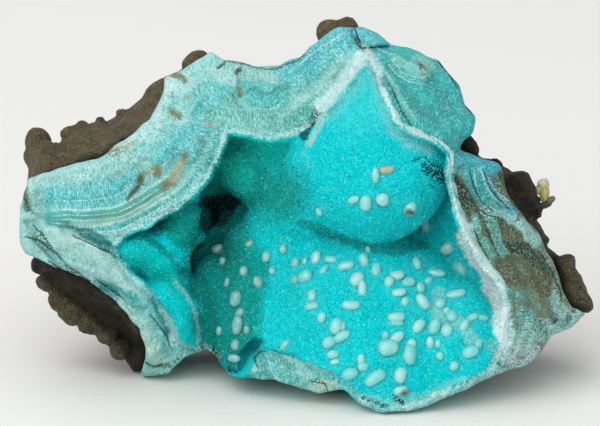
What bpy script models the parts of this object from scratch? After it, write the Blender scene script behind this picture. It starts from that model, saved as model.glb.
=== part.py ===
"""Smithsonite with aurichalcite: a broken, banded turquoise crust on dark goethite
rock, with a hollow lined by druse and rice-grain smithsonite crystals.

Everything is modelled in the frame of the specimen's front face: x across the face,
y into the rock, z up the face, in millimetres. The stance then leans the face back
and sets it on the ground, in metres, with +Z up.
"""
import math

import bmesh
import bpy
import numpy as np
from mathutils import Matrix, Vector, noise
from mathutils.bvhtree import BVHTree

MM = 0.001
LEAN = math.radians(14.0)
STANCE_SHIFT = (0.05, -26.2, -0.3)
FACE_CENTRE = (3.8, 25.8)
GAP = 0.4
LINING = 1.3

# Outlines run clockwise from the far left: x, z and the depth of the edge there.
CRUST_EDGE = [
    (-45.3, 29.2, 13), (-45, 33.2, 13), (-43.9, 37.1, 12), (-38.4, 38.6, 11), (-32.7, 40.4, 11),
    (-27.8, 43.8, 11), (-24.5, 46.5, 11), (-22.8, 49.9, 12), (-22.1, 53.2, 13), (-19.8, 54.2, 14),
    (-17.5, 55.6, 14), (-15.2, 57.2, 14), (-13.1, 55.9, 13), (-10.4, 55.5, 12), (-8.2, 54.8, 12),
    (-4.3, 54.9, 12), (-0.9, 56.4, 12), (1.9, 59.2, 13), (5.4, 61.0, 14), (8.8, 61.2, 14),
    (11.3, 60.3, 14), (13, 58.4, 13), (16, 57.9, 13), (19, 56.6, 13), (21.1, 55.7, 13),
    (22.6, 53.6, 13), (24.2, 51.8, 13), (25.1, 48.8, 13), (26.9, 46.8, 13), (26.8, 44.4, 13),
    (25.6, 42.2, 13), (28.1, 40.4, 13), (30.8, 39.5, 13), (31.9, 35.2, 13), (33.8, 31.8, 13),
    (36.7, 28.6, 14), (38.9, 24.5, 15), (40.4, 20.2, 15), (42, 16.6, 15), (44.1, 15.6, 15),
    (42, 13.6, 13), (38.9, 12.2, 12), (37.6, 10.4, 10), (35.3, 7.9, 7), (30.8, 6.4, 5),
    (25.3, 4.1, 3), (20.2, 1.9, 2), (16, 0.5, 1), (11.7, 0.2, 1), (8.4, 1.5, 2),
    (6, 3.8, 4), (3.6, 3.2, 5), (0.6, 3.5, 6), (-2.4, 4.5, 7), (-8.8, 5.5, 9),
    (-11.5, 5.7, 12), (-13.6, 7.6, 15), (-14.6, 9.3, 16), (-17.0, 9.3, 18), (-22.6, 5.7, 20),
    (-25.2, 5.1, 21), (-25.5, 9.6, 16), (-26.3, 13.0, 15), (-28.5, 15.8, 14), (-31.4, 18.6, 13),
    (-34.8, 21, 12), (-37.8, 22.3, 12), (-41.1, 23.6, 12), (-44.4, 25, 13), (-45.2, 26.7, 13),
]
MATRIX_EDGE = [
    (-44.6, 31.3, 24), (-44.7, 36, 24), (-44.6, 40, 24), (-44.2, 42.6, 25), (-42.6, 43.8, 25),
    (-38.6, 44.6, 25), (-36, 45.6, 26), (-30.7, 47.2, 26), (-27.0, 49.1, 26), (-24.6, 52, 26),
    (-22.8, 53.6, 26), (-19.6, 54.9, 26), (-14.4, 55, 27), (-8.8, 54.2, 28),
    (-2.5, 54.5, 28), (1.9, 57.6, 26), (4.6, 59, 26), (7.3, 58.6, 26), (12.5, 56.6, 27),
    (18.8, 54.2, 27), (23.5, 49.5, 26), (25.9, 45.5, 25), (26.9, 43.9, 24), (27.6, 40.9, 24),
    (30.8, 39.9, 24), (34.1, 37.9, 24), (36.4, 35.7, 24), (37.2, 33, 24), (37.7, 29.7, 24),
    (39.4, 25.6, 24), (42.5, 24.5, 24), (43.3, 21.8, 24), (44.4, 19, 23), (45.4, 16.9, 22),
    (44.2, 15.7, 22), (40.9, 15, 24), (37, 13.1, 27), (30.7, 10.7, 30), (21.2, 9, 34),
    (11.7, 8.1, 36), (2.2, 8.1, 36), (-7.3, 8.7, 35), (-13.6, 10.7, 31), (-18.3, 10.3, 28),
    (-22.3, 8.1, 26), (-25.6, 5.5, 23), (-27.8, 6.2, 22), (-29.4, 8.6, 21), (-31.2, 11, 21),
    (-33.8, 12.7, 21), (-37, 14.8, 21), (-39.9, 16.9, 21), (-41.8, 19.6, 21), (-43, 22.6, 21),
    (-43.9, 25.8, 22), (-44.4, 28.6, 23),
]
HOLLOW_EDGE = [
    (9.2, 56.7, 8), (10.7, 53.9, 6), (12.3, 49.8, 2.5), (13.7, 46, -0.5), (16, 44.4, -0.5),
    (19.9, 42.7, 1), (22.4, 40.8, 2.5), (22.1, 38.1, 2), (22.8, 34.9, 1.5), (23.7, 31.3, 1),
    (25, 27.6, 0.5), (26.5, 24.6, 0), (28.6, 22.1, 0), (30.5, 19.6, 0), (31.1, 16.9, 0),
    (30.8, 13.9, 0), (30.2, 10.7, 0), (28.1, 7.6, 0), (24.3, 5.8, -0.5), (20.2, 4.3, -1),
    (16, 3, -1), (11.7, 2.7, -1), (8.2, 4, -1), (5.1, 5.9, 0), (1.9, 7.3, 1),
    (-0.9, 8.7, 2), (-3.2, 10.1, 3), (-6.3, 10.9, 5), (-9.3, 11.2, 7), (-11, 10.4, 9),
    (-12.4, 10.1, 12), (-14.3, 11.6, 15), (-16.3, 11.7, 16), (-18, 11.5, 16), (-19.3, 12.5, 15),
    (-20.2, 15, 14), (-21.8, 17.9, 13), (-24.3, 19.4, 12), (-26.9, 21.3, 11.5), (-28.8, 23.9, 11),
    (-29.9, 26.2, 10.5), (-28.8, 27.8, 10), (-26.5, 28.8, 9.5), (-24.2, 30, 9), (-22.1, 31.3, 8.5),
    (-19.9, 32.4, 8), (-18.2, 33.8, 8), (-16.3, 35.7, 7.5), (-14.9, 37.4, 7.5), (-13.6, 39.3, 7.5),
    (-13, 41.9, 7), (-12.3, 44.1, 7), (-9, 43.5, 7), (-6, 42.8, 7.5), (-3.2, 43.1, 8),
    (-0.9, 44.1, 8), (0.6, 45.7, 8), (2.5, 47.6, 7.5), (4.7, 49.8, 7.5), (6.6, 52.3, 8),
    (8.1, 54.5, 8),
]

# Rounded masses that swell into the hollow, and pockets that widen it behind its rim:
# centre and half sizes.
LOBES = {
    "great dome": ((10.9, 11.2, 39.0), (11.9, 11.8, 12.4)),
    "dome neck": ((9.4, 13.0, 48.0), (6.0, 8.5, 8.5)),
    "lower lobe": ((9.3, 21.0, 3.0), (23.0, 23.0, 26.5)),
    "lower right lobe": ((24.5, 13.5, 8.0), (9.0, 13.8, 13.0)),
    "left bulge": ((-27.0, 17.0, 25.2), (7.4, 6.0, 3.4)),
    "left pillar": ((-19.8, 17.5, 14.0), (2.7, 5.0, 6.0)),
    "inner curtain": ((-17.6, 22.5, 31.5), (3.4, 8.0, 8.5)),
    "back lobe": ((-4.0, 28.0, 37.5), (9.0, 9.0, 8.5)),
    "back lower lobe": ((-4.5, 25.0, 25.5), (7.5, 8.0, 6.5)),
}
POCKETS = {
    "deep hole": ((-13.0, 19.0, 32.5), (4.4, 6.8, 4.6)),
    "left gallery": ((-22.0, 17.5, 27.5), (8.0, 5.5, 6.0)),
    "right gallery": ((22.5, 9.0, 27.5), (4.5, 6.0, 6.5)),
}
CRESCENT_POCKET = ((-6.2, 6.6, 49.6), (2.8, 2.6, 1.1))

# The hollow's space: how far its rings lie from the face's centre, as shares of its
# outline, and how far its back wall lies behind the face.
HOLLOW_FRONT = 24.0
HOLLOW_FRONT_RINGS = (0.5, 1.0)
HOLLOW_BACK_RINGS = (0.8, 0.4)
HOLLOW_SPOKES = 36
HOLLOW_WALL_START = 0.3
HOLLOW_LEFT_SIDE = -13.0
HOLLOW_BACK_LEFT = 25.0
HOLLOW_BACK_SLOPE = 0.22

# The crust's body, its rings again as shares of an outline.
CRUST_FRONT_RINGS = (0.45, 0.96)
CRUST_BACK_RINGS = (0.86, 0.5)
CRUST_FRONT_BULGE = 15.0
CRUST_SHOULDER = 4.0
CRUST_BACK = 17.5
RIM_LEAST_WIDTH = 2.0
RIM_ROUNDNESS = 5

# The dark rock's body: its front rings with the share of the way that they come forward
# to the crust, and its back rings.
MATRIX_FRONT_RINGS = ((0.45, 0.5), (0.84, 1.0), (0.95, 0.55), (1.0, 0.0))
MATRIX_BACK_RINGS = (0.92, 0.7, 0.35)
MATRIX_SETBACK = 1.2
MATRIX_BACK = 18.0
MATRIX_BACK_EDGE = 24.0

# Ledges of the broken rim: how far out across it, and how far it stands forward.
RIM_LEDGES = [(0.0, 0.0), (0.28, 0.9), (0.36, 0.1), (0.62, 0.7), (0.85, 0.0), (1.0, 0.0)]
CRUST_ROUGHNESS = 0.72
MATRIX_ROUGHNESS = 1.28
CRUST_GRAIN = 5.0
MATRIX_GRAIN = 6.0

# Knobs on the dark rock: centre and radius.
KNOBS = [
    (-42.8, 25, 43.2, 2.2), (-38.2, 25, 44.2, 1.7), (-35.8, 25, 45.4, 1.7), (-33.4, 24, 46.0, 1.5),
    (-30.2, 24, 46.4, 1.6), (-27.0, 23, 47.6, 1.6), (-24.8, 23, 49.8, 1.6), (-17.9, 24, 55.1, 1.8),
    (4.2, 23, 58.9, 2.4), (6.2, 25, 58.3, 2.2), (-39.5, 18, 17.6, 1.6), (-37.4, 18, 15.8, 1.9),
    (-34.4, 18, 14.0, 1.8), (-31.6, 18, 12.4, 1.7), (-29.6, 18, 9.8, 1.6), (-41.4, 18, 20.6, 1.4),
    (34.0, 17.5, 35.6, 1.7), (26.8, 19, 42.6, 1.7), (41.4, 19, 22.8, 1.9), (43.6, 20, 17.6, 1.6),
    (37.4, 22, 28.0, 1.6), (36.4, 20, 32.4, 1.5), (-36.0, 17, 19.0, 1.5), (-32.0, 16, 16.2, 1.4),
    (-40.0, 19, 41.0, 1.8), (-34.0, 18, 42.6, 1.7),
]
# Broad botryoidal swellings of the rock's back: centre and half sizes.
SWELLINGS = [
    ((-28, 33, 36), (13, 8, 10)), ((-12, 38, 42), (14, 8, 10)), ((10, 38, 41), (13, 8, 11)),
    ((25, 33, 32), (11, 8, 11)), ((-31, 30, 22), (11, 7, 9)), ((-11, 39, 26), (14, 8, 11)),
    ((13, 39, 23), (14, 8, 10)), ((32, 30, 20), (9, 7, 7)), ((-2, 33, 47), (12, 8, 6)),
    ((17, 32, 46), (8, 7, 5)), ((-26, 30, 42), (8, 6, 6)), ((-37, 28, 34), (7, 6, 9)),
]
# The yellow crystal's centre, the radii of its foot and top, its height and its lean.
YELLOW_CENTRE = (37.6, 24.0, 34.6)
YELLOW_RADII = (1.2, 0.78)
YELLOW_HEIGHT = 3.4
YELLOW_SIDES = 6
YELLOW_LEAN = math.radians(12.0)

# Rice-grain crystals: place across and up the face, length, width and lean in degrees.
GRAINS = [
    (10.9, 37.6, 2.5, 1.4, 0), (12.6, 38.5, 2.7, 1.4, 80), (9.5, 33.0, 2.3, 2.0, 10),
    (12.2, 33.6, 1.8, 1.6, 0), (16.4, 32.1, 2.5, 2.1, 20), (18.8, 29.9, 2.8, 2.2, -15),
    (2.2, 31.4, 1.9, 1.5, 0), (9.8, 25.6, 2.1, 1.7, 60), (9.2, 23.2, 2.6, 1.6, 20),
    (11.2, 22.0, 2.8, 1.9, -20), (14.4, 22.0, 2.4, 1.9, 30), (13.0, 19.4, 2.2, 1.5, 0),
    (16.4, 20.4, 2.2, 1.9, 80), (14.6, 17.4, 2.4, 1.6, 70), (17.5, 23.4, 3.2, 1.5, 10),
    (20.6, 22.2, 2.7, 1.7, 75), (18.6, 19.8, 2.4, 1.6, -25), (18.2, 16.8, 2.6, 1.6, 5),
    (23.6, 18.5, 3.0, 1.5, 70), (21.0, 17.6, 2.3, 1.9, 90), (23.1, 15.1, 2.3, 2.0, 0),
    (22.4, 26.0, 2.3, 2.0, 90), (24.4, 22.8, 3.1, 2.3, 60), (7.1, 16.9, 2.7, 1.7, 80),
    (7.9, 21.0, 2.7, 1.9, -10), (6.0, 24.2, 2.3, 1.8, 50), (14.1, 14.9, 2.8, 1.7, 80),
    (17.7, 13.7, 2.3, 2.0, 30), (20.6, 13.4, 2.1, 1.8, 0), (-1.4, 23.8, 2.3, 2.0, 10),
    (-0.8, 20.8, 3.4, 2.0, 75), (1.7, 24.9, 2.6, 1.7, 0), (3.9, 23.6, 2.1, 1.7, 40),
    (1.0, 17.9, 3.4, 2.3, 15), (4.9, 14.4, 2.6, 2.1, -10), (3.6, 11.2, 2.4, 1.8, 70),
    (6.2, 11.8, 2.4, 1.7, -40), (13.0, 10.9, 3.2, 2.7, 30), (16.3, 10.9, 2.3, 2.0, 10),
    (16.5, 8.2, 2.3, 1.8, 80), (8.9, 9.2, 2.0, 1.6, 0), (9.3, 6.9, 2.0, 1.6, 60),
    (11.3, 5.6, 3.1, 1.9, 60), (6.6, 6.4, 2.1, 1.7, 70), (14.8, 5.6, 3.0, 1.9, 0),
    (21.0, 10.7, 2.4, 1.6, 80), (19.0, 9.0, 2.1, 1.7, 0), (21.6, 8.2, 2.0, 1.6, 70),
    (-14.1, 25.6, 2.1, 1.8, 0), (-7.6, 20.5, 2.3, 1.9, 10), (-10.6, 17.8, 2.8, 2.4, 0),
    (-11.1, 21.8, 2.1, 1.8, 30), (-5.5, 24.6, 1.9, 1.6, 0), (26.0, 13.6, 2.3, 1.6, 70),
    (27.4, 10.8, 2.3, 1.8, 60), (24.4, 10.6, 2.1, 1.7, 10), (10.6, 15.6, 2.1, 1.7, 0),
    (3.8, 19.6, 2.4, 1.7, 20), (-13.4, 18.5, 1.7, 1.5, 0), (12.0, 28.4, 2.0, 1.6, 30),
]
GRAIN_SINK = 0.2
GRAIN_LIE = 0.8
GRAIN_SIDES = 6
GRAIN_RINGS = 3
SIGHT_START = -60.0

# How finely ellipsoids are faceted: steps of an icosphere, or a knob's sides and rings.
BIG_LOBE = 10.0
BIG_LOBE_FINENESS = 3
LOBE_FINENESS = 2
HIDDEN_BIG_LOBE_FINENESS = 2
HIDDEN_LOBE_FINENESS = 1
SWELLING_FINENESS = 1
KNOB_SIDES = 6
KNOB_RINGS = 3
FACET_TURN = 0.37
FACET_AXIS = (0.3, 1.0, 0.6)
FLAT_ANGLE = math.radians(7.0)
SHARP_ANGLE = math.radians(30.0)
GROUND_CUTTER = (0.2, 0.2, 0.02)


def clear_scene():
    """Remove whatever the file holds."""
    for old in list(bpy.data.objects):
        bpy.data.objects.remove(old, do_unlink=True)


def rock_material(name, colour, roughness):
    """A Principled material of one mineral."""
    material = bpy.data.materials.new(name)
    material.use_nodes = True
    shader = material.node_tree.nodes["Principled BSDF"]
    shader.inputs["Base Color"].default_value = (*colour, 1.0)
    shader.inputs["Roughness"].default_value = roughness
    shader.inputs["Metallic"].default_value = 0.0
    return material


def edge_polar(edge):
    """Angle, radius and depth of an outline's points about the face's centre."""
    points = np.array(edge, dtype=float)
    across = points[:, 0] - FACE_CENTRE[0]
    up = points[:, 1] - FACE_CENTRE[1]
    return np.arctan2(up, across), np.hypot(across, up), points[:, 2]


def spoke_angles(count):
    """Even angles about the face's centre, clockwise."""
    return -2.0 * math.pi * (np.arange(count) + 0.5) / count


def edge_at(edge, angles):
    """Radius and depth of an outline at other angles."""
    own_angles, radii, depths = edge_polar(edge)
    turn = 2.0 * math.pi
    return np.interp(angles, own_angles, radii, period=turn), np.interp(angles, own_angles, depths, period=turn)


def face_point(angle, radius, depth):
    """A point of the face frame from polar values."""
    return (FACE_CENTRE[0] + radius * math.cos(angle), depth, FACE_CENTRE[1] + radius * math.sin(angle))


def loft(name, rings):
    """Closed body from rings of points, with a pole beyond the first and the last ring."""
    shape = bmesh.new()
    rows = [[shape.verts.new(point) for point in ring] for ring in rings]
    for near, far in zip(rows, rows[1:]):
        for i in range(len(near)):
            j = (i + 1) % len(near)
            shape.faces.new((near[i], near[j], far[j], far[i]))
    for row in (rows[0], rows[-1]):
        middle = sum((vert.co for vert in row), Vector()) / len(row)
        pole = shape.verts.new(middle)
        for i in range(len(row)):
            shape.faces.new((row[i], row[(i + 1) % len(row)], pole))
    bmesh.ops.recalc_face_normals(shape, faces=shape.faces)
    bmesh.ops.triangulate(shape, faces=shape.faces)
    return finish_mesh(name, shape)


def finish_mesh(name, shape):
    """Turn a bmesh into an object of the scene."""
    mesh = bpy.data.meshes.new(name)
    shape.to_mesh(mesh)
    shape.free()
    made = bpy.data.objects.new(name, mesh)
    bpy.context.collection.objects.link(made)
    return made


def ellipsoid(name, centre, radii, fineness=LOBE_FINENESS, grow=0.0):
    """A faceted ellipsoid in the face frame; fineness 0 makes a plain knob."""
    shape = bmesh.new()
    if fineness:
        bmesh.ops.create_icosphere(shape, subdivisions=fineness, radius=1.0)
    else:
        bmesh.ops.create_uvsphere(shape, u_segments=KNOB_SIDES, v_segments=KNOB_RINGS, radius=1.0)
    size = Matrix.Diagonal((*(radius + grow for radius in radii), 1.0))
    turned = Matrix.Rotation(FACET_TURN, 4, Vector(FACET_AXIS))
    bmesh.ops.transform(shape, matrix=Matrix.Translation(centre) @ size @ turned, verts=shape.verts)
    return finish_mesh(name, shape)


def combine(target, other, operation):
    """Apply one Boolean to the target and drop the other body."""
    step = target.modifiers.new(operation.title(), "BOOLEAN")
    step.operation = operation
    step.object = other
    step.solver = "EXACT"
    bpy.context.view_layer.update()
    graph = bpy.context.evaluated_depsgraph_get()
    result = bpy.data.meshes.new_from_object(target.evaluated_get(graph))
    target.modifiers.clear()
    target.data = result
    bpy.data.objects.remove(other, do_unlink=True)
    return target


def roughen(body, amount, grain):
    """Push the vertices about by smooth noise, as broken rock is."""
    offsets = (Vector((0.0, 0.0, 0.0)), Vector((17.3, 4.1, 9.7)), Vector((5.9, 31.7, 2.3)))
    for vert in body.data.vertices:
        place = Vector(vert.co) / grain
        vert.co += amount * Vector([noise.noise(place + offset) for offset in offsets])


def crust_form(name, grow=0.0):
    """The whole turquoise crust before its hollow: stepped front, bowed back."""
    angles, outer, edge_depth = edge_polar(CRUST_EDGE)
    inner, inner_depth = edge_at(HOLLOW_EDGE, angles)
    inner = np.minimum(inner, outer - RIM_LEAST_WIDTH)
    rings = []
    for share in CRUST_FRONT_RINGS:
        rings.append([
            face_point(a, r * share, d - CRUST_FRONT_BULGE * math.sqrt(1.0 - share ** 2))
            for a, r, d in zip(angles, inner, inner_depth)
        ])
    for across, forward in RIM_LEDGES:
        round_off = math.sqrt(1.0 - across ** RIM_ROUNDNESS)
        ring = []
        for i, angle in enumerate(angles):
            shoulder = edge_depth[i] - CRUST_SHOULDER
            flat = inner_depth[i] + (shoulder - inner_depth[i]) * across
            depth = edge_depth[i] + (flat - edge_depth[i]) * round_off - forward
            radius = inner[i] + (outer[i] - inner[i]) * across
            ring.append(face_point(angle, radius, depth))
        rings.append(ring)
    for share in CRUST_BACK_RINGS:
        bow = math.sqrt(1.0 - share ** 4)
        rings.append([
            face_point(a, r * share, d + CRUST_BACK * bow) for a, r, d in zip(angles, outer, edge_depth)
        ])
    form = loft(name, rings)
    roughen(form, CRUST_ROUGHNESS, CRUST_GRAIN)
    outward = [vert.normal.copy() for vert in form.data.vertices]
    for vert, normal in zip(form.data.vertices, outward):
        vert.co += grow * normal
    return form


def hollow_form(grow):
    """The empty space of the hollow, its walls moved out by the given amount. Moved-out
    walls are hidden behind the lining, so they are faceted more coarsely."""
    angles = spoke_angles(HOLLOW_SPOKES)
    radii, depths = edge_at(HOLLOW_EDGE, angles)
    radii = radii + grow
    rings = []
    for share in HOLLOW_FRONT_RINGS:
        rings.append([face_point(a, r * share, -HOLLOW_FRONT) for a, r in zip(angles, radii)])
    walls = [(1.0, HOLLOW_WALL_START)]
    walls += [(share, math.sqrt(1.0 - share ** 3)) for share in HOLLOW_BACK_RINGS]
    for share, wall in walls:
        ring = []
        for angle, radius, depth in zip(angles, radii, depths):
            across = FACE_CENTRE[0] + radius * share * math.cos(angle)
            back = HOLLOW_BACK_LEFT - HOLLOW_BACK_SLOPE * (across - HOLLOW_LEFT_SIDE)
            ring.append(face_point(angle, radius * share, depth + (back - depth) * wall + grow))
        rings.append(ring)
    space = loft("hollow", rings)
    hidden = grow > 0.0
    small = HIDDEN_LOBE_FINENESS if hidden else LOBE_FINENESS
    big = HIDDEN_BIG_LOBE_FINENESS if hidden else BIG_LOBE_FINENESS
    for name, (centre, half) in POCKETS.items():
        combine(space, ellipsoid(name, centre, half, small, grow), "UNION")
    for name, (centre, half) in LOBES.items():
        fineness = big if half[0] > BIG_LOBE else small
        combine(space, ellipsoid(name, centre, half, fineness, -grow), "DIFFERENCE")
    return space


def merge_flat_facets(body):
    """Join facets that lie almost in one plane, and leave triangles."""
    shape = bmesh.new()
    shape.from_mesh(body.data)
    bmesh.ops.dissolve_limit(shape, angle_limit=FLAT_ANGLE, verts=shape.verts, edges=shape.edges)
    bmesh.ops.triangulate(shape, faces=shape.faces)
    shape.to_mesh(body.data)
    shape.free()


def make_crust():
    """The banded turquoise crust with its hollow and its crescent pocket."""
    crust = crust_form("aurichalcite_crust")
    combine(crust, hollow_form(LINING + GAP), "DIFFERENCE")
    centre, half = CRESCENT_POCKET
    combine(crust, ellipsoid("crescent", centre, half), "DIFFERENCE")
    merge_flat_facets(crust)
    return crust


def grain_body(place, normal, length, width, lean):
    """One rice-grain crystal lying on the lining, as a faceted ellipsoid."""
    turn = Matrix.Rotation(math.radians(lean), 3, "Y")
    along = (turn @ Vector((0.0, 0.0, 1.0)))
    along = (along - normal * along.dot(normal) * GRAIN_LIE).normalized()
    side = along.cross(normal).normalized()
    out = side.cross(along).normalized()
    frame = Matrix((side * width * 0.5, out * width * 0.5, along * length * 0.5)).transposed().to_4x4()
    shape = bmesh.new()
    bmesh.ops.create_uvsphere(shape, u_segments=GRAIN_SIDES, v_segments=GRAIN_RINGS, radius=1.0)
    centre = place + normal * (0.25 * width - GRAIN_SINK)
    bmesh.ops.transform(shape, matrix=Matrix.Translation(centre) @ frame, verts=shape.verts)
    return finish_mesh("grain", shape)


def make_lining():
    """The hollow's crystal lining, with the rice-grain crystals grown into it."""
    lining = crust_form("crystal_crust")
    combine(lining, hollow_form(LINING), "INTERSECT")
    combine(lining, hollow_form(0.0), "DIFFERENCE")
    merge_flat_facets(lining)
    graph = bpy.context.evaluated_depsgraph_get()
    surface = BVHTree.FromObject(lining, graph)
    for across, up, length, width, lean in GRAINS:
        start = Vector((across, SIGHT_START, up))
        place, normal, _, _ = surface.ray_cast(start, Vector((0.0, 1.0, 0.0)))
        if place is not None:
            combine(lining, grain_body(place, normal, length, width, lean), "UNION")
    return lining


def make_matrix():
    """The dark goethite rock behind the crust, with its knobs and one yellow crystal."""
    angles, outer, edge_depth = edge_polar(MATRIX_EDGE)
    crust_depth = edge_at(CRUST_EDGE, angles)[1] + MATRIX_SETBACK
    rings = []
    for share, forward in MATRIX_FRONT_RINGS:
        rings.append([
            face_point(a, r * share, d - forward * max(d - c, 0.0))
            for a, r, d, c in zip(angles, outer, edge_depth, crust_depth)
        ])
    for share in MATRIX_BACK_RINGS:
        bow = math.sqrt(1.0 - share ** 3)
        rings.append([
            face_point(a, r * share, d + (MATRIX_BACK + (MATRIX_BACK_EDGE - d) * (1.0 - share)) * bow)
            for a, r, d in zip(angles, outer, edge_depth)
        ])
    matrix = loft("matrix", rings)
    roughen(matrix, MATRIX_ROUGHNESS, MATRIX_GRAIN)
    for across, depth, up, radius in KNOBS:
        combine(matrix, ellipsoid("knob", (across, depth, up), (radius,) * 3, fineness=0), "UNION")
    for centre, half in SWELLINGS:
        combine(matrix, ellipsoid("swelling", centre, half, SWELLING_FINENESS), "UNION")
    combine(matrix, yellow_crystal(), "UNION")
    return matrix


def yellow_crystal():
    """A stubby six-sided crystal beside the right edge."""
    shape = bmesh.new()
    bmesh.ops.create_cone(
        shape, cap_ends=True, segments=YELLOW_SIDES, depth=YELLOW_HEIGHT,
        radius1=YELLOW_RADII[0], radius2=YELLOW_RADII[1],
        matrix=Matrix.Translation(YELLOW_CENTRE) @ Matrix.Rotation(YELLOW_LEAN, 4, "Y"),
    )
    return finish_mesh("yellow crystal", shape)


def set_on_ground(pieces):
    """Lean the face back, scale to metres and give the body that cuts the feet flat."""
    stance = bpy.data.objects.new("stance", None)
    bpy.context.collection.objects.link(stance)
    stance.location = [value * MM for value in STANCE_SHIFT]
    stance.rotation_euler = (-LEAN, 0.0, 0.0)
    for piece in pieces:
        piece.data.transform(Matrix.Scale(MM, 4))
        piece.parent = stance
    shape = bmesh.new()
    bmesh.ops.create_cube(shape, size=1.0)
    ground = finish_mesh("ground cutter", shape)
    ground.scale = GROUND_CUTTER
    ground.location = (0.0, 0.0, -0.5 * GROUND_CUTTER[2])
    ground.hide_render = True
    ground.display_type = "WIRE"
    return ground


def main():
    clear_scene()
    crust = make_crust()
    lining = make_lining()
    matrix = make_matrix()
    combine(matrix, crust_form("seat", GAP), "DIFFERENCE")
    merge_flat_facets(matrix)
    colours = {
        crust: ("aurichalcite", (0.30, 0.62, 0.58), 0.75),
        lining: ("smithsonite", (0.02, 0.60, 0.62), 0.45),
        matrix: ("goethite", (0.05, 0.04, 0.028), 0.8),
    }
    for piece, (name, colour, roughness) in colours.items():
        piece.data.materials.clear()
        piece.data.materials.append(rock_material(name, colour, roughness))
        piece.data.shade_smooth()
        piece.data.set_sharp_from_angle(angle=SHARP_ANGLE)
    ground = set_on_ground([crust, lining, matrix])
    for piece in (crust, matrix):
        cut = piece.modifiers.new("Ground", "BOOLEAN")
        cut.operation = "DIFFERENCE"
        cut.object = ground
        cut.solver = "EXACT"


main()
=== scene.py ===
"""Smithsonite with aurichalcite: the finished surfaces of the specimen.

The specimen is described in its face frame, in millimetres: x across the face, y into
the rock, z up the face. Distance fields of its forms are turned into fine meshes, which
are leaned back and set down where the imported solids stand.
"""
import math

import bpy
import numpy as np
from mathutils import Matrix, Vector
from mathutils.bvhtree import BVHTree


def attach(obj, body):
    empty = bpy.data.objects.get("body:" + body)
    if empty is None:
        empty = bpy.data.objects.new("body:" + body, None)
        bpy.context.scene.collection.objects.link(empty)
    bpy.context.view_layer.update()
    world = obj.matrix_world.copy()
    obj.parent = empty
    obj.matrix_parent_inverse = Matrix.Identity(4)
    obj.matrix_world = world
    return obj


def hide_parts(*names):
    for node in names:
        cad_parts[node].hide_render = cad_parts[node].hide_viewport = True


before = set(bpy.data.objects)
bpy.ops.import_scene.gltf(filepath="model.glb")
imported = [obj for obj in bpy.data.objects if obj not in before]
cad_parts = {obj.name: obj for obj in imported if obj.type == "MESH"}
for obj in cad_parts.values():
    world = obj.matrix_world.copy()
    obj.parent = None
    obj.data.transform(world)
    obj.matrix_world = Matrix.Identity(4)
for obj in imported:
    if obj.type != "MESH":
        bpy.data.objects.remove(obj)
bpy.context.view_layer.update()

# Metres to a millimetre, and how the face frame leans back and is shifted to stand.
MM = 0.001
LEAN = math.radians(14.0)
STANCE_SHIFT = (0.05, -26.2, -0.3)

# The middle of the face, x and z, and the thickness of the crystal lining.
FACE_CENTRE = (3.8, 25.8)
LINING = 1.3

# Outlines run clockwise from the far left: x, z and the depth of the edge there.
CRUST_EDGE = [
    (-45.3, 29.2, 13), (-45, 33.2, 13), (-43.9, 37.1, 12), (-38.4, 38.6, 11), (-32.7, 40.4, 11),
    (-27.8, 43.8, 11), (-24.5, 46.5, 11), (-22.8, 49.9, 12), (-22.1, 53.2, 13), (-19.8, 54.2, 14),
    (-17.5, 55.6, 14), (-15.2, 57.2, 14), (-13.1, 55.9, 13), (-10.4, 55.5, 12), (-8.2, 54.8, 12),
    (-4.3, 54.9, 12), (-0.9, 56.4, 12), (1.9, 59.2, 13), (5.4, 61.0, 14), (8.8, 61.2, 14),
    (11.3, 60.3, 14), (13, 58.4, 13), (16, 57.9, 13), (19, 56.6, 13), (21.1, 55.7, 13),
    (22.6, 53.6, 13), (24.2, 51.8, 13), (25.1, 48.8, 13), (26.9, 46.8, 13), (26.6, 44.4, 13),
    (25.2, 43.0, 13), (24.5, 41.7, 13), (26.2, 41.0, 13), (28.1, 40.4, 13), (30.8, 39.5, 13),
    (31.9, 35.2, 13), (33.8, 31.8, 13), (36.7, 28.6, 14), (38.9, 24.5, 15), (40.4, 20.2, 15),
    (42, 16.6, 15), (44.1, 15.6, 15), (42, 13.6, 13), (38.9, 12.2, 12), (37.6, 10.4, 10),
    (35.3, 7.9, 7), (30.8, 6.4, 5), (25.3, 4.1, 3), (20.2, 1.9, 2), (16, 0.5, 1), (11.7, 0.2, 1),
    (8.4, 1.5, 2), (6, 3.8, 4), (3.6, 3.4, 5), (1.8, 3.0, 6), (-1.0, 4.1, 7), (-5.0, 5.4, 8),
    (-8.8, 5.6, 9), (-10.7, 5.4, 11), (-12.2, 6.0, 13), (-13.8, 7.9, 15), (-14.4, 9.0, 16),
    (-15.8, 9.7, 17), (-17.6, 9.2, 18), (-19.6, 8.5, 19), (-20.9, 7.1, 20), (-21.6, 6.1, 20.5),
    (-24.6, 5.3, 21), (-26.6, 5.6, 20), (-25.4, 8.2, 17), (-25.5, 10.4, 16), (-26.5, 13.3, 15),
    (-28.6, 15.9, 14), (-31.4, 18.6, 13), (-34.8, 21, 12), (-37.8, 22.3, 12), (-41.1, 23.6, 12),
    (-44.4, 25, 13), (-45.2, 26.7, 13),
]
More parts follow.
